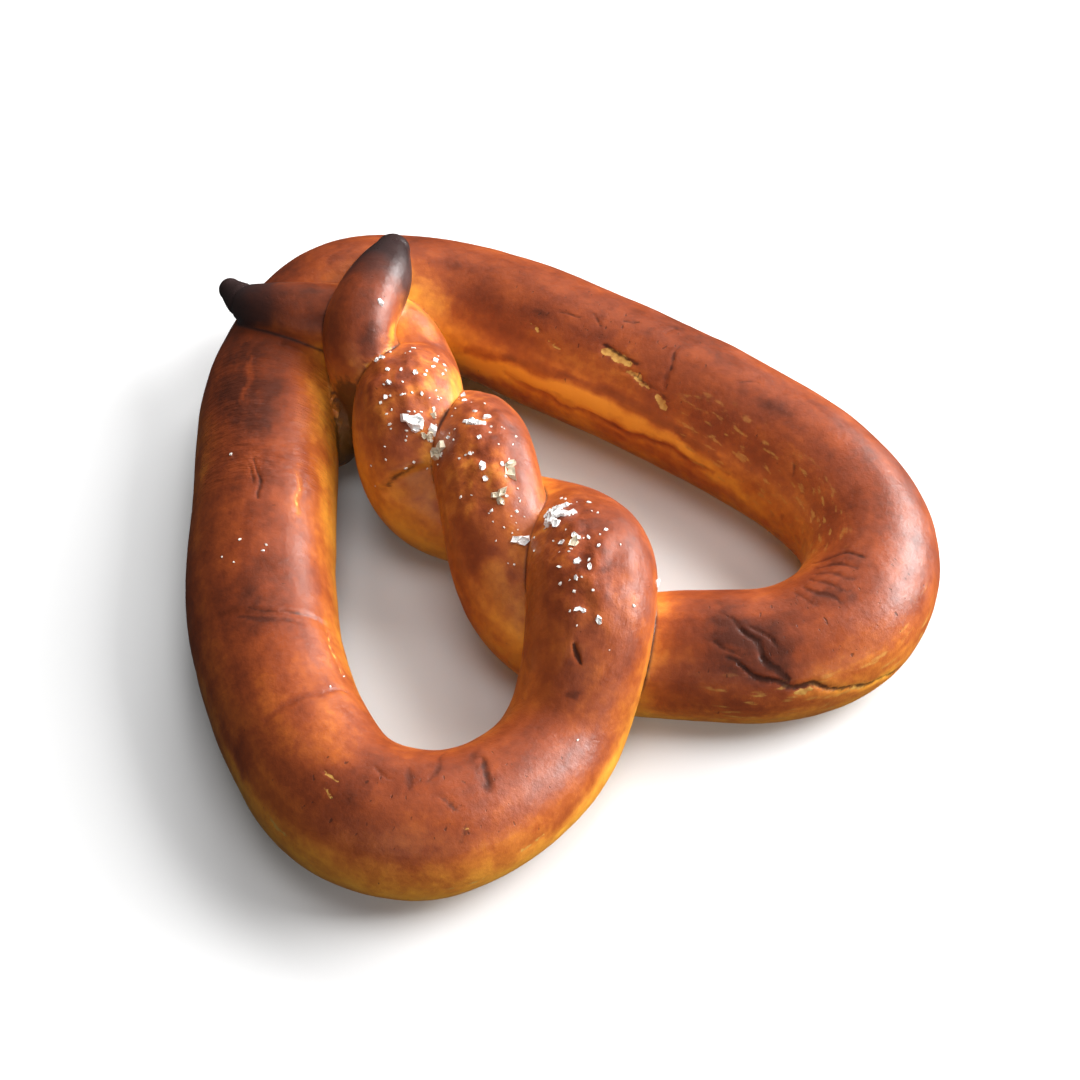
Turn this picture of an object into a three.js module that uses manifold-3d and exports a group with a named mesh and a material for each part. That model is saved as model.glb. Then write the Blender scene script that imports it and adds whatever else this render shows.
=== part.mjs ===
// A baked pretzel: one rope of dough laid in two loops, its thinner ends twisted together and
// pressed onto the back of the rope, with flakes of salt on the twist.
// Millimetres, +Z up, lying on its flat underside at z = 0. The loops are at -Y, the back at +Y.

import * as THREE from 'three';
import { mergeVertices } from 'three/addons/utils/BufferGeometryUtils.js';
import Module from 'manifold-3d';

// Height of the rope's middle line over the table, in radii: the rest is the flat underside
const SEAT = 0.84;

// Stations on the middle line from the back of the rope round each loop to the twist: x, y, radius
const BACK = [2, 72.5, 17.2];
const LEFT_LOOP = [
  [-23, 59.5, 16.2], [-42, 30, 16.8], [-61, -5.5, 16.8], [-68.5, -33, 16.4],
  [-68, -58.5, 16.4], [-55, -71.5, 15.8], [-38, -72.5, 14.2], [-17, -63.5, 12.8],
];
const RIGHT_LOOP = [
  [27.5, 58.5, 16], [43, 31, 16.8], [59.5, -2.5, 17], [70.5, -34, 16.5],
  [69.5, -56, 15.8], [54.5, -71, 15.8], [34.5, -71, 14.8], [17.5, -60, 14.8],
];

// The twist, one value for each crossing from the loops to the back
const CROSSING_X = [1, 0, -6.5, -8];
const CROSSING_Y = [-45, 0, 25, 47];
const OVER_Z = [30, 29, 29, 35.5];
const UNDER_Z = [8, 9, 9, 22];
const OVER_RADIUS = [14.8, 12, 13, 8.6];
const UNDER_RADIUS = [13, 12, 10.4, 9.4];
// How far aside of the crossing the strand underneath lies
const UNDER_X = [0, 0, 0, 14];
const UNDER_Y = [0, 0, 0, 7];

// Between two crossings each strand swings out to one side: reach, lag along the twist, height
const REACH_RIGHT = [10, 9.5, 10];
const REACH_LEFT = [9, 8, -1.5];
const LAG_RIGHT = [3, 8.5, 2];
const LAG_LEFT = [7, 2, -4];
const SWING_Z = [15, 14, 17];

// The two ends on the back of the rope: x, y, z, radius
const LEFT_TIP = [
  [-9.5, 59, 28, 8.8], [-16.5, 63, 31, 8.2], [-21.5, 69.5, 29, 6.2], [-24, 76.5, 26, 4.6], [-24, 80, 28, 2.8],
];
const RIGHT_TIP = [[5, 57, 35, 8.2], [9.8, 62.8, 35.8, 6.6], [12.6, 65.4, 34.6, 4.3]];

// Dough pressed together under the end of the twist, up to the back: x, y, z, radius
const PRESSED = [[-19, 41, 9, 7], [-12, 46, 16, 11], [0, 46, 13, 11], [7, 56, 15, 10]];

// Middle line: spacing of its points, passes of evening out, and divisions for measuring its length
const STEP = 2;
const EVENING_PASSES = 20;
const LENGTH_DIVISIONS = 4000;

// Skin: sides of a cross-section, points from one section to the next, sections in a rounded end
const SIDES = 22;
const STRIDE = 2;
const END_SECTIONS = 4;
// On the inside of a tight bend the dough is squeezed: largest share of the bend's radius it fills
const SQUEEZE = 0.75;
// Points of a surface closer than this are one point
const WELD = 1e-4;
const CRUST_COLOUR = 0x9a4a1e;
const CRUST_ROUGHNESS = 0.5;

// Salt: millimetres along the rope from the left tip, degrees around it (90 is up), spread, flakes, largest
const SALT = [
  [91, 85, 2, 2, 5], [93, 65, 4, 5, 3.2], [97, 75, 1, 1, 5], [81, 121, 2, 2, 2.6],
  [86, 108, 4, 4, 2], [85, 80, 7, 7, 1.6], [80, 60, 1, 1, 2.2], [736, 79, 4, 3, 2],
  [725, 86, 4, 4, 3.2], [717, 80, 5, 4, 2.2], [715, 107, 1, 1, 4.6], [711, 94, 2, 2, 3.6],
  [701, 102, 1, 1, 4.2], [168, 119, 4, 9, 4.4], [177, 107, 4, 5, 3], [181, 92, 5, 3, 1.8],
  [186, 98, 1, 1, 2.4], [187, 79, 1, 1, 1.8], [653, 102, 1, 1, 2.2], [809, 127, 1, 1, 2.2],
];
// A flake's breadth and thickness as shares of its length, and its greatest lean in radians
const FLAKE_BREADTH = 0.8;
const FLAKE_THICKNESS = 0.5;
const FLAKE_LEAN = 0.5;
// Away from a patch's middle the flakes get smaller by this share, and are uneven by this share
const FLAKE_FADE = 0.55;
const FLAKE_UNEVEN = 0.3;
const GOLDEN_ANGLE = 2.4;

const wasm = await Module();
wasm.setup();
const { Manifold, Mesh } = wasm;
const UP = new THREE.Vector3(0, 0, 1);

// Repeatable number from 0 to 1 for the n-th thing of a kind
function share(n, kind) {
  const wave = Math.sin(n * 12.9898 + kind * 78.233) * 43758.5453;
  return wave - Math.floor(wave);
}

// A station lying on the table
function lying([x, y, radius]) {
  return [x, y, SEAT * radius, radius];
}

// Stations of one strand from the first crossing to the last; the left strand goes over first
function twisted(isLeft) {
  const stations = [];
  CROSSING_Y.forEach((y, k) => {
    const x = CROSSING_X[k];
    const over = (k % 2 === 0) === isLeft;
    if (over) stations.push([x, y, OVER_Z[k], OVER_RADIUS[k]]);
    else stations.push([x + UNDER_X[k], y + UNDER_Y[k], UNDER_Z[k], UNDER_RADIUS[k]]);
    if (k + 1 < CROSSING_Y.length) {
      const radius = over ? OVER_RADIUS[k] + UNDER_RADIUS[k + 1] : UNDER_RADIUS[k] + OVER_RADIUS[k + 1];
      stations.push([
        (x + CROSSING_X[k + 1]) / 2 + (over ? REACH_RIGHT[k] : -REACH_LEFT[k]),
        (y + CROSSING_Y[k + 1]) / 2 + (over ? LAG_RIGHT[k] : -LAG_LEFT[k]),
        SWING_Z[k],
        radius / 2,
      ]);
    }
  });
  return stations;
}

// Stations of the whole rope from the left tip to the right tip
function ropeStations() {
  const left = [...LEFT_LOOP.map(lying), ...twisted(true), ...LEFT_TIP];
  const right = [...RIGHT_LOOP.map(lying), ...twisted(false), ...RIGHT_TIP];
  return [...left.reverse(), lying(BACK), ...right];
}

// Evenly spaced points on a middle line through stations
function middleLine(stations) {
  const path = new THREE.CatmullRomCurve3(
    stations.map(([x, y, z]) => new THREE.Vector3(x, y, z)), false, 'centripetal',
  );
  path.arcLengthDivisions = LENGTH_DIVISIONS;
  const count = Math.round(path.getLength() / STEP);
  let line = [];
  for (let i = 0; i <= count; i += 1) {
    const t = path.getUtoTmapping(i / count);
    const place = t * (stations.length - 1);
    const k = Math.min(Math.floor(place), stations.length - 2);
    line.push({
      at: path.getPoint(t),
      radius: THREE.MathUtils.lerp(stations[k][3], stations[k + 1][3], place - k),
    });
  }
  for (let pass = 0; pass < EVENING_PASSES; pass += 1) {
    line = line.map((point, i) => {
      if (i === 0 || i === count) return point;
      const at = point.at.clone().multiplyScalar(2).add(line[i - 1].at).add(line[i + 1].at).divideScalar(4);
      return { at, radius: (line[i - 1].radius + 2 * point.radius + line[i + 1].radius) / 4 };
    });
  }
  // Directions along, across and upward, and the bend, at every point
  line.forEach((point, i) => {
    const before = line[Math.max(i - 1, 0)].at;
    const after = line[Math.min(i + 1, count)].at;
    point.along = after.clone().sub(before).normalize();
    point.across = UP.clone().cross(point.along).normalize();
    point.upward = point.along.clone().cross(point.across);
  });
  line.forEach((point, i) => {
    const before = line[Math.max(i - 1, 0)].along;
    const after = line[Math.min(i + 1, count)].along;
    point.bend = after.clone().sub(before).divideScalar(2 * STEP);
  });
  return line;
}

// Point of the skin at an angle around one section, and the way out of the skin there
function skin(point, angle, scale = 1) {
  const out = point.across.clone().multiplyScalar(Math.cos(angle));
  out.addScaledVector(point.upward, Math.sin(angle));
  const inward = point.bend.dot(out);
  let radius = point.radius;
  if (inward * radius > SQUEEZE) radius = SQUEEZE / inward;
  const at = point.at.clone().addScaledVector(out, radius * scale);
  at.z = Math.max(at.z, 0);
  return { at, out };
}

// A length of the rope with rounded ends: a sphere drawn out along the middle line
function drawnOut(line, from, to) {
  const sections = [];
  const rounded = (point, way) => {
    const ends = [];
    for (let k = 1; k <= END_SECTIONS; k += 1) {
      const turn = (k / END_SECTIONS) * (Math.PI / 2);
      const at = point.at.clone().addScaledVector(point.along, way * point.radius * Math.sin(turn));
      ends.push({ point: { ...point, at }, scale: k < END_SECTIONS ? Math.cos(turn) : 0 });
    }
    return ends;
  };
  sections.push(...rounded(line[from], -1).reverse());
  for (let i = from; i < to; i += STRIDE) sections.push({ point: line[i], scale: 1 });
  sections.push({ point: line[to], scale: 1 });
  sections.push(...rounded(line[to], 1));

  const geometry = new THREE.SphereGeometry(1, SIDES, sections.length - 1);
  const position = geometry.attributes.position;
  for (let v = 0; v < position.count; v += 1) {
    const { point, scale } = sections[Math.floor(v / (SIDES + 1))];
    const angle = Math.PI - ((v % (SIDES + 1)) % SIDES) * (2 * Math.PI / SIDES);
    const { at } = skin(point, angle, scale);
    position.setXYZ(v, at.x, at.y, at.z);
  }
  return geometry;
}

// One flake of salt, half sunk in the skin
function flake(line, along, around, size, n) {
  const point = line[THREE.MathUtils.clamp(Math.round(along / STEP), 0, line.length - 1)];
  const { at, out } = skin(point, THREE.MathUtils.degToRad(around));
  const geometry = new THREE.BoxGeometry(size, size * FLAKE_BREADTH, size * FLAKE_THICKNESS);
  geometry.rotateZ(share(n, 1) * Math.PI);
  geometry.rotateX((share(n, 2) - 0.5) * 2 * FLAKE_LEAN);
  geometry.rotateY((share(n, 3) - 0.5) * 2 * FLAKE_LEAN);
  geometry.applyQuaternion(new THREE.Quaternion().setFromUnitVectors(UP, out));
  geometry.translate(at.x, at.y, at.z);
  return geometry;
}

// All flakes: in each patch the largest lies in the middle and the others round it
function flakes(line) {
  const all = [];
  SALT.forEach(([along, around, spread, count, largest]) => {
    for (let j = 0; j < count; j += 1) {
      const n = all.length + 1;
      const away = spread * Math.sqrt(j / count);
      const turn = j * GOLDEN_ANGLE + along;
      const radius = line[Math.round(along / STEP)].radius;
      const faded = largest * (1 - FLAKE_FADE * (j / count));
      const size = j === 0 ? largest : faded * (1 - FLAKE_UNEVEN * share(n, 4));
      all.push(flake(
        line,
        along + away * Math.cos(turn),
        around + THREE.MathUtils.radToDeg((away * Math.sin(turn)) / radius),
        size,
        n,
      ));
    }
  });
  return all;
}

// Closed geometry to a solid, and back
function solid(geometry) {
  geometry.deleteAttribute('normal');
  geometry.deleteAttribute('uv');
  const merged = mergeVertices(geometry, WELD);
  return new Manifold(new Mesh({
    numProp: 3,
    vertProperties: new Float32Array(merged.attributes.position.array),
    triVerts: new Uint32Array(merged.index.array),
  }));
}

function surface(body) {
  const mesh = body.getMesh();
  const geometry = new THREE.BufferGeometry();
  geometry.setAttribute('position', new THREE.BufferAttribute(new Float32Array(mesh.vertProperties), 3));
  geometry.setIndex(new THREE.BufferAttribute(new Uint32Array(mesh.triVerts), 1));
  geometry.computeVertexNormals();
  return geometry;
}

const line = middleLine(ropeStations());
const pressed = middleLine(PRESSED);
// The twist begins where each loop's last station lies
const nearest = (x, y, from, to) => {
  let best = from;
  for (let i = from; i < to; i += 1) {
    const away = (k) => Math.hypot(line[k].at.x - x, line[k].at.y - y);
    if (away(i) < away(best)) best = i;
  }
  return best;
};
const middle = Math.floor(line.length / 2);
const [leftX, leftY] = LEFT_LOOP[LEFT_LOOP.length - 1];
const [rightX, rightY] = RIGHT_LOOP[RIGHT_LOOP.length - 1];
const leftJoin = nearest(leftX, leftY, 0, middle);
const rightJoin = nearest(rightX, rightY, middle, line.length);

// The outer body alone, so that pockets shut in between the strands are dough too
const filled = (body) => body.decompose().reduce((most, part) => (part.volume() > most.volume() ? part : most));

const dough = filled(Manifold.union([
  solid(drawnOut(line, leftJoin, rightJoin)),
  solid(drawnOut(line, 0, leftJoin)),
  solid(drawnOut(line, rightJoin, line.length - 1)),
  solid(drawnOut(pressed, 0, pressed.length - 1)),
]));
const salted = filled(Manifold.union([dough, ...flakes(line).map(solid)]));

// The origin is under the middle of the whole pretzel
const shape = surface(salted);
shape.computeBoundingBox();
const centre = shape.boundingBox.getCenter(new THREE.Vector3());
shape.translate(-centre.x, -centre.y, 0);

const crust = new THREE.MeshStandardMaterial({ color: CRUST_COLOUR, roughness: CRUST_ROUGHNESS });
const pretzel = new THREE.Mesh(shape, crust);
pretzel.name = 'pretzel';

const group = new THREE.Group();
group.name = 'baked_pretzel';
group.add(pretzel);

export default group;
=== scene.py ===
"""A large baked pretzel: one rope of dough in two loops, its twisted ends pressed onto the back, with salt.

The rope follows the stations of the solid that it replaces. Plans are in millimetres, meshes in metres.
"""

import logging
import math
from dataclasses import dataclass
from enum import Enum, IntEnum

import bmesh
import bpy
import numpy as np
from mathutils import Matrix, Vector, noise
from mathutils.bvhtree import BVHTree


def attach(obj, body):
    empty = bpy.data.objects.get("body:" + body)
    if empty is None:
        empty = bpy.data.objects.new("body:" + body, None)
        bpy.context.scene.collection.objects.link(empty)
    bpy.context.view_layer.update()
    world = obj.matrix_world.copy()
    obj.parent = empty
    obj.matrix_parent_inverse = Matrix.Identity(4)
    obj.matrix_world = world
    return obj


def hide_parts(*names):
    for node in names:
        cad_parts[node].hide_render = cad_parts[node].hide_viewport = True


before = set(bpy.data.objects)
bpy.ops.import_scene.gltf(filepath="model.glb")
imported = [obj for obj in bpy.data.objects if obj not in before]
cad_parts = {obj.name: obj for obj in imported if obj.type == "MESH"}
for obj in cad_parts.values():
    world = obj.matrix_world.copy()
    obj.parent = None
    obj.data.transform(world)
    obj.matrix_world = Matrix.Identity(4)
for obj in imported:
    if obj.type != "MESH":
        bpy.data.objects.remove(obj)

MM = 0.001
BODY = "root"
NODE = "pretzel"
UP = np.array([0.0, 0.0, 1.0])

# Steps along a tall wave, whose fraction serves as a repeatable random number
NUMBER_STEP = 12.9898
KIND_STEP = 78.233
WAVE_HEIGHT = 43758.5453
# Points drawn between two stations of a rope before they are spaced evenly
CURVE_STEPS = 80
# A mark's width at its ends, as a share of that in its middle, and the least square of its length
MARK_END = 0.45
LEAST_LENGTH = 1e-6
# How far a stretch of texture takes to fade in, in millimetres along the rope and degrees around it
FADE_ALONG = 8.0
FADE_AROUND = 25.0

Colour = tuple[float, float, float]
Span = tuple[float, float]
Station = tuple[float, float, float, float]
LyingStation = tuple[float, float, float]

# Parts of a cloudy noise, which seldom leaves its middle, that are carried to a full span
WIDE_CLOUDS: Span = (0.25, 0.75)
CLOUDS: Span = (0.3, 0.7)
NARROW_CLOUDS: Span = (0.35, 0.65)

log = logging.getLogger("pretzel")


def share(number: float, kind: int) -> float:
    """Repeatable number from 0 to 1 for one thing of a kind.

    Args:
        number: Running number of the thing.
        kind: Which of its qualities is asked for.

    Returns:
        The number.
    """
    wave = math.sin(number * NUMBER_STEP + kind * KIND_STEP) * WAVE_HEIGHT
    return wave - math.floor(wave)


def smooth_step(low: float, high: float, value: np.ndarray) -> np.ndarray:
    """Soft step from 0 at low to 1 at high.

    Args:
        low: Value where the step begins.
        high: Value where it ends.
        value: Values to judge.

    Returns:
        The step's height for every value.
    """
    part = np.clip((value - low) / (high - low), 0.0, 1.0)
    return part * part * (3.0 - 2.0 * part)


def unevenness(points: np.ndarray, size: float) -> np.ndarray:
    """Soft random field over space, from about -1 to 1, with lumps of a size in millimetres."""
    return np.array([noise.noise(Vector(place)) for place in points / size])


def dot(a: np.ndarray, b: np.ndarray) -> np.ndarray:
    """Row by row products of two lists of vectors."""
    return np.einsum("ij,ij->i", a, b)


def link_object(name: str, mesh: bpy.types.Mesh) -> bpy.types.Object:
    """Puts a mesh into the scene at the origin.

    Args:
        name: The object's name.
        mesh: Its mesh.

    Returns:
        The new object.
    """
    made = bpy.data.objects.new(name, mesh)
    bpy.context.scene.collection.objects.link(made)
    return made


def surface_tree(mesh: bpy.types.Mesh) -> BVHTree:
    """A mesh's faces, ready to be met by rays."""
    return BVHTree.FromPolygons([v.co for v in mesh.vertices], [f.vertices for f in mesh.polygons])


@dataclass
class Places:
    """Places on the rope's skin: millimetres along it, degrees around it, and the radius there."""

    along: np.ndarray
    around: np.ndarray
    radius: np.ndarray


@dataclass
class MiddleLine:
    """Evenly spaced points on the middle line of a rope, with the directions there, in millimetres."""

    at: np.ndarray
    radius: np.ndarray
    spacing: float
    squeeze: float = 0.75

    def __post_init__(self) -> None:
        """Works out the directions along, across and upward, and the bend, at every point."""
        run = self._change(self.at)
        self.along = run / np.linalg.norm(run, axis=1)[:, None]
        across = np.cross(UP, self.along)
        self.across = across / np.linalg.norm(across, axis=1)[:, None]
        self.upward = np.cross(self.along, self.across)
        self.bend = self._change(self.along) / (2.0 * self.spacing)

    @property
    def length(self) -> float:
        """The line's length."""
        return (len(self.at) - 1) * self.spacing

    @staticmethod
    def _change(values: np.ndarray) -> np.ndarray:
        """Difference between the next and the last row, the ends repeated."""
        padded = np.concatenate([values[:1], values, values[-1:]])
        return padded[2:] - padded[:-2]

    @classmethod
    def through(cls, stations: list[Station], spacing: float, passes: int) -> "MiddleLine":
        """Draws a smooth line through stations and evens it out.

        Args:
            stations: Places and radii that the rope runs through.
            spacing: Distance between the line's points.
            passes: Passes of evening out, with the ends held.

        Returns:
            The line.
        """
        posts = np.array(stations, float)
        places = posts[:, :3]
        places = np.vstack([2 * places[0] - places[1], places, 2 * places[-1] - places[-2]])
        path = []
        for k in range(len(posts) - 1):
            four = places[k:k + 4]
            gaps = [math.sqrt(np.linalg.norm(b - a)) for a, b in zip(four, four[1:])]
            knots = np.cumsum([0.0, *gaps])
            for part in np.linspace(0.0, 1.0, CURVE_STEPS, endpoint=False):
                t = knots[1] + part * (knots[2] - knots[1])
                point = cls._between(t, knots, four)
                path.append([*point, posts[k, 3] + part * (posts[k + 1, 3] - posts[k, 3])])
        path.append([*places[-2], posts[-1, 3]])
        dense = np.array(path)
        steps = np.linalg.norm(np.diff(dense[:, :3], axis=0), axis=1)
        travelled = np.concatenate([[0.0], np.cumsum(steps)])
        count = round(travelled[-1] / spacing)
        even = np.linspace(0.0, travelled[-1], count + 1)
        rows = np.stack([np.interp(even, travelled, column) for column in dense.T], axis=1)
        return cls._evened(rows, spacing, passes)

    @staticmethod
    def _between(t: float, knots: np.ndarray, four: np.ndarray) -> np.ndarray:
        """A point of the smooth curve through four places, between the middle two, by repeated blending."""
        level = list(four)
        for width in (1, 2):
            nearer = []
            for k in range(len(level) - 1):
                near, far = knots[k], knots[k + width]
                nearer.append(((far - t) * level[k] + (t - near) * level[k + 1]) / (far - near))
            level = nearer
        return ((knots[2] - t) * level[0] + (t - knots[1]) * level[1]) / (knots[2] - knots[1])

    @classmethod
    def _evened(cls, rows: np.ndarray, spacing: float, passes: int) -> "MiddleLine":
        """A line from rows of place and radius, evened out with the ends held."""
        for _ in range(passes):
            inner = (rows[:-2] + 2.0 * rows[1:-1] + rows[2:]) / 4.0
            rows = np.vstack([rows[:1], inner, rows[-1:]])
        return cls(rows[:, :3], rows[:, 3], spacing)

    def finer(self, spacing: float, passes: int) -> "MiddleLine":
        """The same line with closer points.

        Args:
            spacing: About the distance between the points.
            passes: Passes of evening out.

        Returns:
            The finer line.
        """
        count = round(self.length / spacing)
        old = np.arange(len(self.at)) * self.spacing
        new = np.linspace(0.0, self.length, count + 1)
        rows = np.stack([np.interp(new, old, column) for column in (*self.at.T, self.radius)], axis=1)
        return self._evened(rows, self.length / count, passes)

    def skin(self, index: np.ndarray, angle: np.ndarray) -> tuple[np.ndarray, np.ndarray]:
        """Way out of the rope and its radius at places around it.

        Args:
            index: Numbers of the line's points.
            angle: Angles around the rope in radians, a quarter turn being up.

        Returns:
            The outward directions, and the radii, squeezed on the inside of tight bends.
        """
        out = self.across[index] * np.cos(angle)[:, None] + self.upward[index] * np.sin(angle)[:, None]
        inward = dot(self.bend[index], out)
        radius = self.radius[index]
        tight = inward * radius > self.squeeze
        return out, np.where(tight, self.squeeze / np.where(tight, inward, 1.0), radius)


@dataclass(frozen=True)
class RopePlan:
    """Stations that the rope of dough runs through, as in the solid, in millimetres."""

    seat: float = 0.84
    back: LyingStation = (2, 72.5, 17.2)
    left_loop: tuple[LyingStation, ...] = (
        (-23, 59.5, 16.2), (-42, 30, 16.8), (-61, -5.5, 16.8), (-68.5, -33, 16.4),
        (-68, -58.5, 16.4), (-55, -71.5, 15.8), (-38, -72.5, 14.2), (-17, -63.5, 12.8),
    )
    right_loop: tuple[LyingStation, ...] = (
        (27.5, 58.5, 16), (43, 31, 16.8), (59.5, -2.5, 17), (70.5, -34, 16.5),
        (69.5, -56, 15.8), (54.5, -71, 15.8), (34.5, -71, 14.8), (17.5, -60, 14.8),
    )
    crossing_x: tuple[float, ...] = (1, 0, -6.5, -8)
    crossing_y: tuple[float, ...] = (-45, 0, 25, 47)
    over_z: tuple[float, ...] = (30, 29, 29, 35.5)
    under_z: tuple[float, ...] = (8, 9, 9, 22)
    over_radius: tuple[float, ...] = (14.8, 12, 13, 8.6)
    under_radius: tuple[float, ...] = (13, 12, 10.4, 9.4)
    under_x: tuple[float, ...] = (0, 0, 0, 14)
    under_y: tuple[float, ...] = (0, 0, 0, 7)
    reach_right: tuple[float, ...] = (10, 9.5, 10)
    reach_left: tuple[float, ...] = (9, 8, -1.5)
    lag_right: tuple[float, ...] = (3, 8.5, 2)
    lag_left: tuple[float, ...] = (7, 2, -4)
    swing_z: tuple[float, ...] = (15, 14, 17)
    left_tip: tuple[Station, ...] = (
        (-9.5, 59, 28, 8.8), (-16.5, 63, 31, 8.2), (-21.5, 69.5, 29, 6.2), (-24, 76.5, 26, 4.6),
        (-24, 80, 28, 2.8),
    )
    right_tip: tuple[Station, ...] = ((5, 57, 35, 8.2), (9.8, 62.8, 35.8, 6.6), (12.6, 65.4, 34.6, 4.3))
    pressed: tuple[Station, ...] = ((-19, 41, 9, 7), (-12, 46, 16, 11), (0, 46, 13, 11), (7, 56, 15, 10))
    spacing: float = 2.0
    passes: int = 20

    def lying(self, station: LyingStation) -> Station:
        """A station on the table, with its height."""
        x, y, radius = station
        return (x, y, self.seat * radius, radius)

    def twisted(self, is_left: bool) -> list[Station]:
        """Stations of one strand from the first crossing to the last.

        Args:
            is_left: Whether it is the left loop's strand, which goes over first.

        Returns:
            The stations.
        """
        stations = []
        for k, y in enumerate(self.crossing_y):
            x = self.crossing_x[k]
            over = (k % 2 == 0) == is_left
            if over:
                stations.append((x, y, self.over_z[k], self.over_radius[k]))
            else:
                under = (x + self.under_x[k], y + self.under_y[k], self.under_z[k])
                stations.append((*under, self.under_radius[k]))
            if k + 1 == len(self.crossing_y):
                break
            next_radius = self.under_radius[k + 1] if over else self.over_radius[k + 1]
            reach = self.reach_right[k] if over else -self.reach_left[k]
            lag = self.lag_right[k] if over else -self.lag_left[k]
            stations.append((
                (x + self.crossing_x[k + 1]) / 2 + reach,
                (y + self.crossing_y[k + 1]) / 2 + lag,
                self.swing_z[k],
                (stations[-1][3] + next_radius) / 2,
            ))
        return stations

    def rope(self) -> MiddleLine:
        """The whole rope's middle line, from the left tip to the right tip."""
        left = [*map(self.lying, self.left_loop), *self.twisted(True), *self.left_tip]
        right = [*map(self.lying, self.right_loop), *self.twisted(False), *self.right_tip]
        stations = [*reversed(left), self.lying(self.back), *right]
        return MiddleLine.through(stations, self.spacing, self.passes)

    def pressed_core(self) -> MiddleLine:
        """Middle line of the dough pressed together under the end of the twist."""
        return MiddleLine.through(list(self.pressed), self.spacing, self.passes)


class MarkKind(Enum):
    """What a mark does to the skin."""

    GROOVE = "a soft dent or wrinkle"
    # Wide ones without depth are painted shade in a hollow
    CRACK_AND_SHADE = "a narrow dark opening"
    TEAR = "skin torn open to the pale crumb"
    STEP = "one side of the line standing higher"
    # Some darken skin as painted shade where less light falls
    STAIN_AND_SHADE = "darker baking without relief"
    # One lightens a brightly lit top as painted light
    GOLD = "paler baking without relief"


@dataclass(frozen=True)
class Mark:
    """A mark drawn on the skin from one place to another: millimetres along the rope, degrees around it."""

    kind: MarkKind
    start: tuple[float, float]
    end: tuple[float, float]
    width: float
    depth: float = 0.0
    tone: float = 1.0

    def offsets(self, places: Places) -> tuple[np.ndarray, np.ndarray]:
        """How far places on the skin lie from the mark's line, which thins out to its ends.

        Args:
            places: The places.

        Returns:
            The distance to the line in widths of the mark, and the distance to one side of it, with a sign.
        """
        arc = np.radians(1.0) * places.radius
        step = self.end[0] - self.start[0]
        across = (self.end[1] - self.start[1]) * arc
        from_start = places.along - self.start[0]
        from_side = (places.around - self.start[1]) * arc
        length = np.maximum(step ** 2 + across ** 2, LEAST_LENGTH)
        part = np.clip((from_start * step + from_side * across) / length, 0.0, 1.0)
        away = np.hypot(from_start - part * step, from_side - part * across)
        side = (from_start * across - from_side * step) / np.sqrt(length)
        return away / (self.width * (MARK_END + (1.0 - MARK_END) * np.sin(np.pi * part))), side


GROOVE, CRACK_AND_SHADE, TEAR = MarkKind.GROOVE, MarkKind.CRACK_AND_SHADE, MarkKind.TEAR
STEP, STAIN_AND_SHADE, GOLD = MarkKind.STEP, MarkKind.STAIN_AND_SHADE, MarkKind.GOLD

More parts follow.
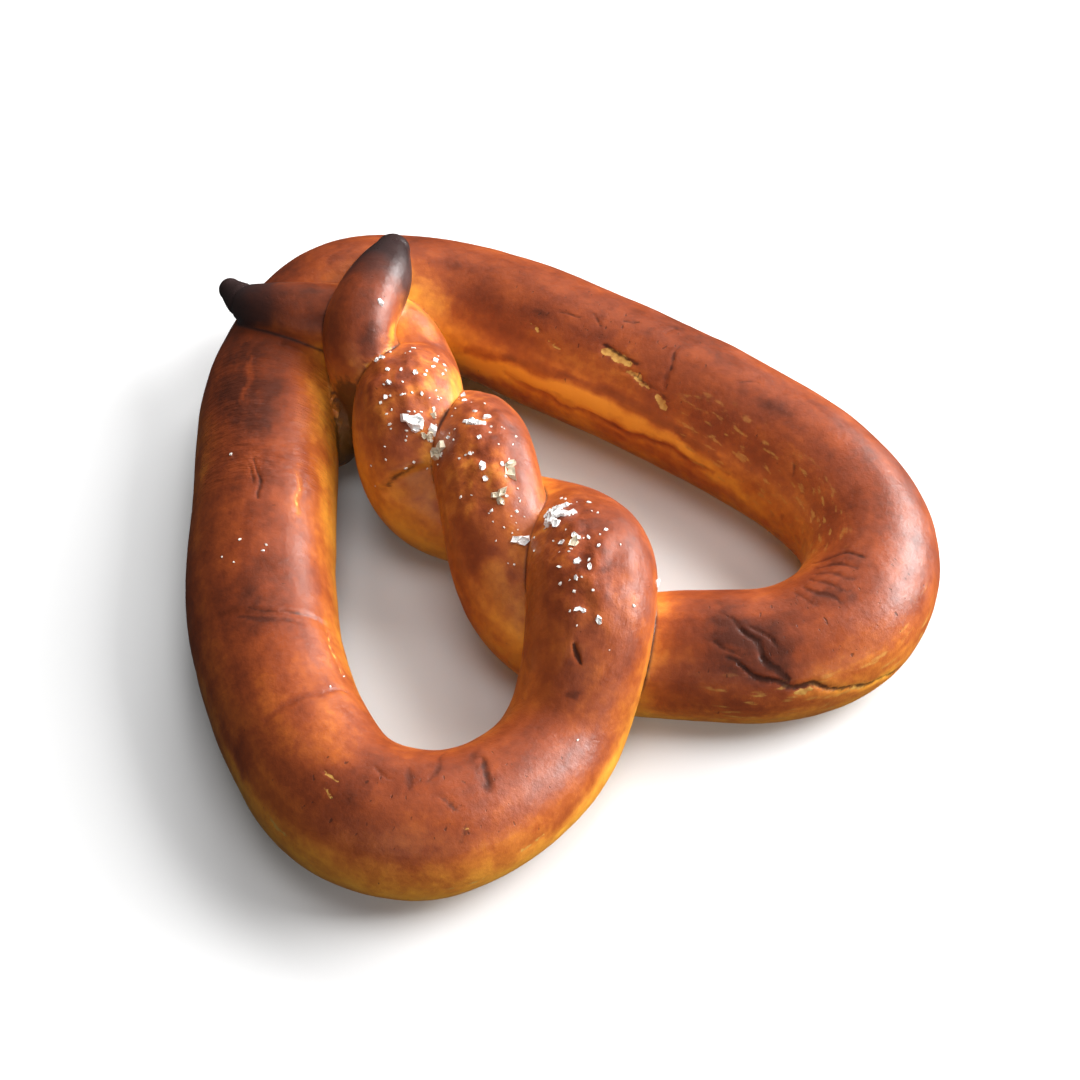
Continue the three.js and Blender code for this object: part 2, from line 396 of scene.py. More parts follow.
MARKS = (
    # Near arm: slits, a broken pale line and the rings where the skin changes
    Mark(CRACK_AND_SHADE, (361, 87), (349, 92), 0.42, 0.22, 0.7),
    Mark(CRACK_AND_SHADE, (359, 83), (354, 84), 0.4, 0.15, 0.5),
    Mark(TEAR, (359, 124), (347, 122), 0.5, 0.3, 0.52),
    Mark(GOLD, (361, 125), (346, 122), 0.9, 0.0, 0.4),
    Mark(GOLD, (394, 78), (379, 75), 0.8, 0.0, 0.5),
    Mark(STEP, (320, 55), (317, 99), 0.7, 0.25),
    Mark(STEP, (317, 99), (316, 150), 0.7, 0.25),
    Mark(CRACK_AND_SHADE, (319, 78), (317, 100), 0.35, 0.2, 0.6),
    Mark(CRACK_AND_SHADE, (317, 102), (316, 138), 0.4, 0.2, 0.65),
    Mark(GROOVE, (317, 66), (313, 122), 0.7, 0.12, 0.3),
    Mark(GROOVE, (291, 64), (292, 136), 0.8, 0.15, 0.3),
    Mark(TEAR, (314, 140), (299, 142), 0.35, 0.15, 0.6),
    Mark(STAIN_AND_SHADE, (418, 55), (376, 82), 13.0, 0.0, 0.5),
    Mark(STAIN_AND_SHADE, (292, 40), (287, 18), 3.0, 0.0, 0.4),
    # Painted light: a paler patch on the near arm's brightly lit top
    Mark(GOLD, (308, 94), (276, 96), 10.0, 0.0, 0.4),
    # Front loop: dents on the inside of the bend, scratches and pale flecks
    Mark(CRACK_AND_SHADE, (266, 97), (262, 87), 0.6, 0.2, 0.5),
    Mark(GROOVE, (258, 104), (257, 84), 0.9, 0.15, 0.35),
    Mark(CRACK_AND_SHADE, (239, 100), (241, 78), 0.7, 0.25, 0.6),
    Mark(GROOVE, (240, 108), (242, 74), 1.8, 0.25, 0.3),
    Mark(GROOVE, (253, 92), (247, 126), 0.6, 0.1, 0.3),
    Mark(CRACK_AND_SHADE, (252, 76), (249, 62), 0.4, 0.12, 0.5),
    Mark(CRACK_AND_SHADE, (248, 52), (249, 38), 0.45, 0.12, 0.5),
    Mark(TEAR, (272, 62), (270, 60), 0.35, 0.1, 0.7),
    Mark(TEAR, (273, 75), (271, 72), 0.3, 0.1, 0.7),
    Mark(TEAR, (250, 50), (248, 48), 0.35, 0.1, 0.7),
    Mark(TEAR, (278, 15), (274, 13), 0.45, 0.1, 0.7),
    Mark(TEAR, (252, -6), (246, -7), 0.45, 0.1, 0.7),
    Mark(TEAR, (240, 9), (235, 8), 0.45, 0.1, 0.7),
    Mark(GOLD, (292, 10), (232, -12), 6.0, 0.0, 0.35),
    Mark(GOLD, (230, -8), (204, -2), 4.5, 0.0, 0.5),
    # First crossing: a dark slit and a small mark
    Mark(CRACK_AND_SHADE, (191, 97), (195, 85), 0.6, 0.7),
    Mark(STAIN_AND_SHADE, (203, 90), (201, 79), 1.2, 0.0, 0.6),
    # Second crossing: a pale side, a browner one, and painted shade on the lit top of the salted lobe
    Mark(GOLD, (697, 64), (684, 24), 5.0, 0.0, 0.45),
    Mark(STAIN_AND_SHADE, (708, 40), (699, 40), 4.0, 0.0, 0.35),
    # Painted shade over the lit top of the salted lobe
    Mark(STAIN_AND_SHADE, (726, 112), (715, 120), 6.0, 0.0, 0.3),
    # Far loop: wrinkles fanning out from the tight inner corner
    Mark(GROOVE, (606, 132), (601, 109), 0.6, 0.25, 0.5),
    Mark(CRACK_AND_SHADE, (601, 111), (600, 94), 0.6, 0.25, 0.75),
    Mark(GROOVE, (609, 125), (604, 94), 0.5, 0.16, 0.45),
    Mark(GROOVE, (612, 122), (607, 89), 0.45, 0.15, 0.4),
    Mark(GROOVE, (615, 119), (610, 84), 0.45, 0.16, 0.4),
    Mark(GROOVE, (618, 114), (613, 78), 0.55, 0.2, 0.5),
    Mark(GROOVE, (621, 112), (618, 84), 0.45, 0.12, 0.3),
    Mark(STAIN_AND_SHADE, (617, 94), (611, 78), 3.0, 0.0, 0.35),
    # Far loop: a dark pitted patch, a split along the side, and painted shade low on the front
    Mark(CRACK_AND_SHADE, (638, 88), (634, 66), 0.5, 0.25, 0.55),
    Mark(CRACK_AND_SHADE, (636, 78), (631, 50), 0.7, 0.35, 0.8),
    Mark(CRACK_AND_SHADE, (632, 54), (627, 30), 0.9, 0.45, 0.9),
    Mark(CRACK_AND_SHADE, (634, 80), (630, 62), 0.45, 0.25, 0.5),
    Mark(CRACK_AND_SHADE, (641, 66), (636, 49), 0.5, 0.25, 0.55),
    Mark(CRACK_AND_SHADE, (639, 51), (635, 38), 0.6, 0.3, 0.65),
    Mark(CRACK_AND_SHADE, (635, 38), (630, 30), 0.7, 0.3, 0.7),
    Mark(CRACK_AND_SHADE, (631, 68), (629, 60), 0.4, 0.2, 0.6),
    Mark(STAIN_AND_SHADE, (639, 82), (629, 34), 6.5, 0.0, 0.45),
    # Painted shade low on the far loop's front
    Mark(STAIN_AND_SHADE, (660, 10), (634, 0), 6.0, 0.0, 0.4),
    Mark(CRACK_AND_SHADE, (637, 43), (620, 12), 0.7, 0.5, 0.95),
    Mark(CRACK_AND_SHADE, (626, 22), (608, -12), 0.5, 0.35, 0.75),
    Mark(TEAR, (626.5, 18), (624.5, 14), 0.7, 0.2, 0.9),
    Mark(TEAR, (618, 4), (615, 0), 0.5, 0.2, 0.8),
    Mark(GOLD, (628, 18), (611, -6), 1.6, 0.0, 0.5),
    # Far arm: torn patches, cracks and pits
    Mark(TEAR, (504, 118), (511, 120), 1.2, 0.35, 0.95),
    Mark(TEAR, (511, 127), (516, 126), 0.7, 0.3, 0.8),
    Mark(TEAR, (515, 128), (518, 131), 0.8, 0.3, 0.8),
    Mark(TEAR, (521, 135), (525, 138), 0.9, 0.3, 0.85),
    Mark(CRACK_AND_SHADE, (503, 115), (513, 117), 0.45, 0.25, 0.8),
    Mark(CRACK_AND_SHADE, (511, 124), (526, 134), 0.4, 0.15, 0.5),
    Mark(CRACK_AND_SHADE, (519, 84), (521, 110), 0.32, 0.18, 0.7),
    Mark(GROOVE, (521, 110), (522, 128), 0.6, 0.12, 0.35),
    Mark(CRACK_AND_SHADE, (514, 84), (516, 60), 0.32, 0.15, 0.55),
    Mark(CRACK_AND_SHADE, (489, 104), (494, 98), 0.3, 0.15, 0.6),
    Mark(CRACK_AND_SHADE, (497, 92), (500, 104), 0.3, 0.15, 0.6),
    Mark(CRACK_AND_SHADE, (504, 88), (507, 80), 0.3, 0.15, 0.5),
    Mark(CRACK_AND_SHADE, (536, 96), (541, 84), 0.3, 0.12, 0.45),
    Mark(CRACK_AND_SHADE, (560, 120), (564, 138), 0.3, 0.12, 0.4),
    Mark(TEAR, (485, 125), (488, 126), 0.5, 0.2, 0.6),
    Mark(TEAR, (491, 131), (494, 132), 0.5, 0.2, 0.6),
    Mark(STAIN_AND_SHADE, (485, 100), (500, 112), 8.0, 0.0, 0.2),
    # Far arm: the pale band by the table, with a darker line above and a seam in it, and painted shade on the
    # downward-facing skin below
    Mark(STAIN_AND_SHADE, (468, 168), (483, 158), 1.6, 0.0, 0.5),
    Mark(STAIN_AND_SHADE, (481, 159), (499, 150), 1.6, 0.0, 0.55),
    Mark(STAIN_AND_SHADE, (497, 151), (532, 152), 1.6, 0.0, 0.55),
    Mark(STAIN_AND_SHADE, (530, 153), (546, 166), 1.5, 0.0, 0.5),
    Mark(GOLD, (466, 178), (498, 163), 2.2, 0.0, 0.6),
    Mark(GOLD, (496, 163), (534, 163), 2.0, 0.0, 0.6),
    Mark(GOLD, (532, 163), (552, 176), 2.0, 0.0, 0.5),
    Mark(GROOVE, (481, 175), (498, 178), 0.8, 0.3, 0.6),
    Mark(GROOVE, (498, 178), (541, 171), 0.8, 0.3, 0.6),
    # Painted shade on the skin that faces down to the table
    Mark(STAIN_AND_SHADE, (470, 196), (560, 192), 5.0, 0.0, 0.4),
    # Third crossing: a fold and a pale side
    Mark(STEP, (101, 150), (99, 88), 0.9, 1.2),
    Mark(CRACK_AND_SHADE, (101, 142), (99, 96), 0.4, 0.25, 0.6),
    Mark(GOLD, (72, 30), (92, 20), 4.0, 0.0, 0.6),
    # Left end: a collar behind the burnt knob, and darker skin before the burnt part
    Mark(GROOVE, (5.5, -90), (5.5, 270), 0.9, 0.5, 0.0),
    Mark(STAIN_AND_SHADE, (18, 104), (32, 100), 7.0, 0.0, 0.45),
    # Right end: a bruise and pale lips; painted shade in the hollow beside it, on the strand below and on the
    # near arm's inner side
    Mark(STAIN_AND_SHADE, (804, 128), (798, 82), 1.8, 0.0, 0.55),
    Mark(GOLD, (806, 172), (800, 140), 1.4, 0.0, 0.8),
    Mark(GOLD, (799, 132), (797, 70), 0.8, 0.0, 0.8),
    # Painted shade: wide dark marks in the hollow between the near arm and the twist
    Mark(CRACK_AND_SHADE, (792, 22), (770, -30), 7.0, 0.0, 1.0),
    Mark(CRACK_AND_SHADE, (390, 178), (374, 192), 6.0, 0.0, 1.0),
    # Back: pale dough where the ends are pressed on
    Mark(GOLD, (44, 76), (57, 56), 5.0, 0.0, 0.5),
    Mark(GOLD, (446, 128), (458, 132), 5.0, 0.0, 0.5),
    Mark(STAIN_AND_SHADE, (427, 88), (433, 82), 1.4, 0.0, 0.4),
)


@dataclass(frozen=True)
class SkinRelief:
    """Unevenness of the baked skin, in millimetres."""

    lump_sizes: tuple[float, ...] = (30.0, 12.0, 5.0)
    lump_heights: tuple[float, ...] = (0.55, 0.22, 0.07)
    blister_sizes: tuple[float, ...] = (5.0, 2.2)
    blister_heights: tuple[float, ...] = (1.3, 0.5)
    blister_seed: float = 57.0
    least_salted: float = 0.02
    wander: float = 1.6
    wander_turn: float = 5.0
    wander_size: float = 6.0
    wander_seeds: tuple[float, float] = (311.0, -173.0)
    step_reach: float = 4.0
    narrow: float = 1.3
    margin: float = 1.0

    def marks(self, places: Places) -> np.ndarray:
        """Relief of the marks.

        Args:
            places: Places on the rope.

        Returns:
            Height over the plain skin.
        """
        height = np.zeros_like(places.along)
        for mark in MARKS:
            if mark.depth == 0.0:
                continue
            away, side = mark.offsets(places)
            if mark.kind is STEP:
                reach = np.exp(-((away / self.step_reach) ** 2))
                height += mark.depth * np.tanh(side / mark.width) * reach
            else:
                height -= mark.depth * np.exp(-(away ** 2))
        return height

    def finely_marked(self, places: Places) -> np.ndarray:
        """Where narrow marks need a finer mesh.

        Args:
            places: Places on the rope.

        Returns:
            Whether a narrow mark is near, for every place.
        """
        near = np.zeros(len(places.along), bool)
        for mark in MARKS:
            if mark.depth != 0.0 and mark.width < self.narrow:
                away, _ = mark.offsets(places)
                near |= away * mark.width < mark.width + self.margin
        return near

    def wandered(self, places: Places, points: np.ndarray) -> Places:
        """Places on the rope moved a little, so that marks drawn there wander.

        Args:
            places: The places.
            points: The same places in space, in millimetres.

        Returns:
            The moved places.
        """
        first, second = (unevenness(points + seed, self.wander_size) for seed in self.wander_seeds)
        along = places.along + self.wander * first
        return Places(along, places.around + self.wander_turn * second, places.radius)

    def lumps(self, points: np.ndarray) -> np.ndarray:
        """Lumps of several sizes.

        Args:
            points: Places on the skin, in millimetres.

        Returns:
            Height over the plain skin.
        """
        height = np.zeros(len(points))
        for size, high in zip(self.lump_sizes, self.lump_heights):
            height += high * unevenness(points, size)
        return height

    def blisters(self, points: np.ndarray, where: np.ndarray) -> np.ndarray:
        """Small blisters on the salted dough.

        Args:
            points: Places on the skin, in millimetres.
            where: How salted the dough is there, from 0 to 1.

        Returns:
            Height over the plain skin.
        """
        height = np.zeros(len(points))
        inside = where > self.least_salted
        if inside.any():
            moved = points[inside] + self.blister_seed
            for size, high in zip(self.blister_sizes, self.blister_heights):
                height[inside] += high * where[inside] * unevenness(moved, size)
        return height


@dataclass(frozen=True)
class SaltPatch:
    """A patch of salt: millimetres along the rope, degrees around it, and the share of clear flakes."""

    along: float
    around: float
    spread: float
    count: int
    largest: float
    clear: float = 0.0


FLAKE_PATCHES = (
    SaltPatch(91, 85, 2, 2, 5),
    SaltPatch(93, 65, 4, 5, 3.2, 0.5),
    SaltPatch(97, 75, 1, 1, 5, 1.0),
    SaltPatch(81, 121, 2, 2, 2.6),
    SaltPatch(86, 108, 4, 4, 2),
    SaltPatch(85, 80, 7, 7, 1.6),
    SaltPatch(80, 60, 1, 1, 2.2),
    SaltPatch(736, 79, 4, 3, 2, 0.2),
    SaltPatch(725, 86, 4, 4, 3.2, 0.1),
    SaltPatch(717, 80, 5, 4, 2.2),
    SaltPatch(715, 107, 1, 1, 4.6, 1.0),
    SaltPatch(711, 94, 2, 2, 3.6, 1.0),
    SaltPatch(701, 102, 1, 1, 4.2),
    SaltPatch(168, 119, 4, 9, 4.4),
    SaltPatch(177, 107, 4, 5, 3, 0.2),
    SaltPatch(181, 92, 5, 3, 1.8),
    SaltPatch(186, 98, 1, 1, 2.4),
    SaltPatch(187, 79, 1, 1, 1.8),
    SaltPatch(653, 102, 1, 1, 2.2),
    SaltPatch(809, 127, 1, 1, 2.2),
)

GRAIN_PATCHES = (
    SaltPatch(85, 88, 10, 20, 1.2),
    SaltPatch(93, 75, 8, 12, 1.2),
    SaltPatch(97, 128, 8, 5, 1.0),
    SaltPatch(91, 106, 6, 5, 1.1),
    SaltPatch(734, 74, 7, 8, 1.1),
    SaltPatch(722, 88, 8, 14, 1.2),
    SaltPatch(711, 80, 9, 14, 1.1),
    SaltPatch(703, 96, 8, 8, 1.0),
    SaltPatch(166, 118, 8, 14, 1.2),
    SaltPatch(177, 98, 8, 16, 1.2),
    SaltPatch(184, 82, 9, 8, 1.1),
    SaltPatch(336, 78, 6, 4, 1.0),
    SaltPatch(363, 67, 1, 1, 0.9),
    SaltPatch(334, 98, 1, 1, 0.8),
    SaltPatch(299, 142, 1, 1, 0.8),
    SaltPatch(293, 119, 1, 1, 0.8),
    SaltPatch(219, 59, 1, 1, 0.8),
)


class Texture(Enum):
    """Fine textures that parts of the skin have."""

    ACROSS = "wrinkled_across"
    ALONG = "wrinkled_along"
    FLECKED = "flecked"
    PITTED = "pitted"


@dataclass(frozen=True)
class Stretch:
    """A stretch of skin with a fine texture: millimetres along the rope, degrees around it."""

    texture: Texture
    first: float
    last: float
    low: float
    high: float

    def amount(self, places: Places) -> np.ndarray:
        """How strong the texture is.

        Args:
            places: Places on the rope.

        Returns:
            The strength from 0 to 1, fading out at the stretch's edges.
        """
        from_first = smooth_step(0.0, FADE_ALONG, places.along - self.first)
        to_last = smooth_step(0.0, FADE_ALONG, self.last - places.along)
        from_low = smooth_step(0.0, FADE_AROUND, places.around - self.low)
        return from_first * to_last * from_low * smooth_step(0.0, FADE_AROUND, self.high - places.around)


STRETCHES = (
    Stretch(Texture.ACROSS, 352, 402, 20, 175),
    Stretch(Texture.ALONG, 172, 214, 10, 120),
    Stretch(Texture.FLECKED, 524, 602, 105, 190),
    Stretch(Texture.FLECKED, 594, 646, -40, 45),
    Stretch(Texture.PITTED, 470, 535, 50, 145),
    Stretch(Texture.PITTED, 592, 648, 15, 130),
    Stretch(Texture.PITTED, 225, 280, 20, 110),
)


@dataclass
class DrawnSphere:
    """A sphere drawn out along part of a middle line, with a ring at every second point of the line."""

    line: MiddleLine
    begin: int
    finish: int
    end_sections: int
    sides: int
    crowding: float

    def __post_init__(self) -> None:
        """Makes the sphere and the sections that its rings lie on, which close round at both ends."""
        count = 2 * self.end_sections
        turns = np.arange(1, count + 1) / count * (math.pi / 2)
        index = np.arange(self.begin, self.finish + 1)
        plain = np.zeros(len(index))
        self.index = np.concatenate([np.full(count, self.begin), index, np.full(count, self.finish)])
        self.push = np.concatenate([-np.sin(turns[::-1]), plain, np.sin(turns)])
        self.scale = np.concatenate([np.cos(turns[::-1]), plain + 1.0, np.cos(turns)])
        self.shell = bmesh.new()
        bmesh.ops.create_uvsphere(
            self.shell, u_segments=self.sides, v_segments=(len(self.index) - 1) // 2, radius=1.0,
        )
        self.lay()

    def lay(self) -> None:
        """Works out where every point lies: along and around the rope, and the way out there."""
        unit = np.array([vertex.co.normalized() for vertex in self.shell.verts])
        polar = np.arccos(np.clip(unit[:, 2], -1.0, 1.0))
        section = np.rint(polar / math.pi * (len(self.index) - 1)).astype(int)
        from_top = np.arctan2(unit[:, 1], unit[:, 0])
        angle = math.pi / 2 - (from_top - self.crowding * np.sin(from_top))
        point = self.index[section]
        self.thickness = self.line.radius[point]
        push = self.push[section] * self.thickness
        self.out, radius = self.line.skin(point, angle)
        self.closing = self.scale[section]
        around = np.degrees(angle)
        around = np.where(around < -90.0, around + 360.0, around)
        self.places = Places(point * self.line.spacing + push, around, radius)
        self.middle = self.line.at[point] + self.line.along[point] * push[:, None]

    def refine(self, chosen: np.ndarray) -> None:
        """Halves the mesh's spacing between chosen points.

        Args:
            chosen: For every point, whether it is one of them.
        """
        self.shell.verts.index_update()
        edges = [edge for edge in self.shell.edges if all(chosen[vertex.index] for vertex in edge.verts)]
        bmesh.ops.subdivide_edges(self.shell, edges=edges, cuts=1, use_grid_fill=True)
        self.lay()


@dataclass
class Dough:
    """The rope of dough: three lengths and a pressed core, joined into one skin, in millimetres."""

    plan: RopePlan
    relief: SkinRelief
    spacing: float = 0.45
    passes: int = 22
    core_spacing: float = 1.0
    core_passes: int = 16
    sides: int = 100
    crowding: float = 0.4
    end_sections: int = 14
    near_cut: float = 317.0
    far_cut: float = 521.0
    cut_overlap: float = 5.0
    cut_taper: float = 0.012
    full_lumps: float = 12.0
    weld: float = 0.01
    seam_weld: float = 0.12
    least_edge: float = 0.05
    own_strand: float = 40.0
    least_bent: float = 0.3
    batch: int = 4096
    crease_reach: float = 1.6
    crease_passes: int = 4
    crease_softness: float = 0.5
    least_flakes: int = 3
    salt_halo: float = 4.0

    def __post_init__(self) -> None:
        """Lays the middle lines and centres them as the solid is centred."""
        rope = self.plan.rope()
        low = (rope.at - rope.radius[:, None]).min(axis=0)
        high = (rope.at + rope.radius[:, None]).max(axis=0)
        shift = np.array([-(low[0] + high[0]) / 2, -(low[1] + high[1]) / 2, 0.0])
        self.rope = MiddleLine(rope.at + shift, rope.radius, rope.spacing)
        core = self.plan.pressed_core()
        self.core = MiddleLine(core.at + shift, core.radius, core.spacing)

    def salted(self, places: Places) -> np.ndarray:
        """How much salt lies on the dough.

        Args:
            places: Places on the rope.

        Returns:
            The amount from 0 to 1 for every place.
        """
        amount = np.zeros_like(places.along)
        for patch in FLAKE_PATCHES:
            if patch.count < self.least_flakes:
                continue
            arc = np.radians(places.around - patch.around) * places.radius
            away = np.hypot(places.along - patch.along, arc)
            amount = np.maximum(amount, np.exp(-((away / (patch.spread + self.salt_halo)) ** 2)))
        return amount

    def length_of_rope(self, line: MiddleLine, first: float, last: float, marked: bool) -> bmesh.types.BMesh:
        """A closed length of rope: a sphere drawn out along the middle line.

        Args:
            line: The middle line.
            first: Where it begins, in millimetres along the line.
            last: Where it ends.
            marked: Whether it is the rope itself, with its marks and salt.

        Returns:
            The mesh, in metres.
        """
        begin = round(first / line.spacing)
        finish = min(round(last / line.spacing), len(line.at) - 1)
        finish -= (finish - begin) % 2
        drawn = DrawnSphere(line, begin, finish, self.end_sections, self.sides, self.crowding)
        if marked:
            skin = drawn.middle + drawn.out * drawn.places.radius[:, None]
            drawn.refine(self.relief.finely_marked(self.relief.wandered(drawn.places, skin)))
        places = drawn.places
        taper = np.ones(len(places.along))
        if marked:
            for cut, way in ((first, 1.0), (last, -1.0)):
                if 0.0 < cut < line.length:
                    inside = smooth_step(0.0, 2 * self.cut_overlap, way * (places.along - cut))
                    taper -= self.cut_taper * (1.0 - inside)
        skin = drawn.middle + drawn.out * (places.radius * drawn.closing * taper)[:, None]
        height = self.relief.lumps(skin) * np.minimum(drawn.thickness / self.full_lumps, 1.0)
        if marked:
            height += self.relief.marks(self.relief.wandered(places, skin))
            height += self.relief.blisters(skin, self.salted(places))
        skin += drawn.out * (height * drawn.closing)[:, None]
        skin[:, 2] = np.maximum(skin[:, 2], 0.0)
        shell = drawn.shell
        for vertex, point in zip(shell.verts, skin * MM):
            vertex.co = point
        bmesh.ops.remove_doubles(shell, verts=shell.verts, dist=self.weld * MM)
        bmesh.ops.recalc_face_normals(shell, faces=shell.faces)
        return shell

    def build(self) -> bpy.types.Object:
        """Makes the dough's skin and softens its creases.

        Returns:
            The dough.
        """
        rope = self.rope.finer(self.spacing, self.passes)
        core = self.core.finer(self.core_spacing, self.core_passes)
        near, far, lap = self.near_cut, self.far_cut, self.cut_overlap
        dough = self.joined([
            self.length_of_rope(rope, 0.0, near + lap, True),
            self.length_of_rope(rope, near - lap, far + lap, True),
            self.length_of_rope(rope, far - lap, rope.length, True),
            self.length_of_rope(core, 0.0, core.length, False),
        ])
        self.soften(dough)
        return dough

    @staticmethod
    def joined(lengths: list[bmesh.types.BMesh]) -> bpy.types.Object:
        """Joins closed lengths into one skin.

        Args:
            lengths: The lengths, which are freed.

        Returns:
            One object with the outer skin alone.
        """
        made = []
        for k, shell in enumerate(lengths):
            mesh = bpy.data.meshes.new(f"dough_length_{k}")
            shell.to_mesh(mesh)
            shell.free()
            made.append(link_object(mesh.name, mesh))
        first, *others = made
        for other in others:
            joint = first.modifiers.new(other.name, "BOOLEAN")
            joint.operation = "UNION"
            joint.solver = "MANIFOLD"
            joint.object = other
        seen = first.evaluated_get(bpy.context.evaluated_depsgraph_get())
        mesh = bpy.data.meshes.new_from_object(seen)
        for piece in made:
            old = piece.data
            bpy.data.objects.remove(piece)
            bpy.data.meshes.remove(old)
        mesh.name = "dough"
        return link_object("dough", mesh)

    def soften(self, dough: bpy.types.Object) -> None:
        """Cleans the joined skin, keeps its outer shell and rounds the creases between strands.

        Args:
            dough: The joined dough.
        """
        skin = bmesh.new()
        skin.from_mesh(dough.data)
        bmesh.ops.remove_doubles(skin, verts=skin.verts, dist=self.seam_weld * MM)
        bmesh.ops.dissolve_degenerate(skin, edges=skin.edges, dist=self.least_edge * MM)
        bmesh.ops.triangulate(skin, faces=[face for face in skin.faces if len(face.verts) > 4])
        self.keep_outer(skin)
        _, gap = self.on_rope(np.array([vertex.co for vertex in skin.verts]) / MM)
        creased = [vertex for vertex, near in zip(skin.verts, gap < self.crease_reach) if near]
        for _ in range(self.crease_passes):
            bmesh.ops.smooth_vert(
                skin, verts=creased, factor=self.crease_softness,
                use_axis_x=True, use_axis_y=True, use_axis_z=True,
            )
        for vertex in creased:
            vertex.co.z = max(vertex.co.z, 0.0)
        bmesh.ops.recalc_face_normals(skin, faces=skin.faces)
        for face in skin.faces:
            face.smooth = True
        skin.to_mesh(dough.data)
        skin.free()

    @staticmethod
    def keep_outer(skin: bmesh.types.BMesh) -> None:
        """Deletes every loose shell but the largest.

        Args:
            skin: The mesh to clean.
        """
        seen = set()
        shells = []
        for start in skin.verts:
            if start in seen:
                continue
            shell = [start]
            seen.add(start)
            for vertex in shell:
                for edge in vertex.link_edges:
                    other = edge.other_vert(vertex)
                    if other not in seen:
                        seen.add(other)
                        shell.append(other)
            shells.append(shell)
        shells.sort(key=len)
        stray = [vertex for shell in shells[:-1] for vertex in shell]
        bmesh.ops.delete(skin, geom=stray, context="VERTS")

    def on_rope(self, points: np.ndarray) -> tuple[Places, np.ndarray]:
        """Finds where points lie on the rope.

        Args:
            points: Points on the skin, in millimetres.

        Returns:
            Their places on the rope, and the gap to the nearest other strand.
        """
        rope = self.rope
        numbers = np.arange(len(rope.at))
        window = self.own_strand / rope.spacing
        nearest = np.zeros(len(points), int)
        gap = np.zeros(len(points))
        for begin in range(0, len(points), self.batch):
            part = slice(begin, begin + self.batch)
            away = np.linalg.norm(points[part, None, :] - rope.at[None, :, :], axis=2) - rope.radius
            best = away.argmin(axis=1)
            away[np.abs(numbers[None, :] - best[:, None]) < window] = np.inf
            nearest[part] = best
            gap[part] = away.min(axis=1)
        off = points - rope.at[nearest]
        bent = np.maximum(1.0 - dot(off, rope.bend[nearest]), self.least_bent)
        along = nearest * rope.spacing + dot(off, rope.along[nearest]) / bent
        around = np.degrees(np.arctan2(dot(off, rope.upward[nearest]), dot(off, rope.across[nearest])))
        around = np.where(around < -90.0, around + 360.0, around)
        return Places(along, around, rope.radius[nearest]), gap


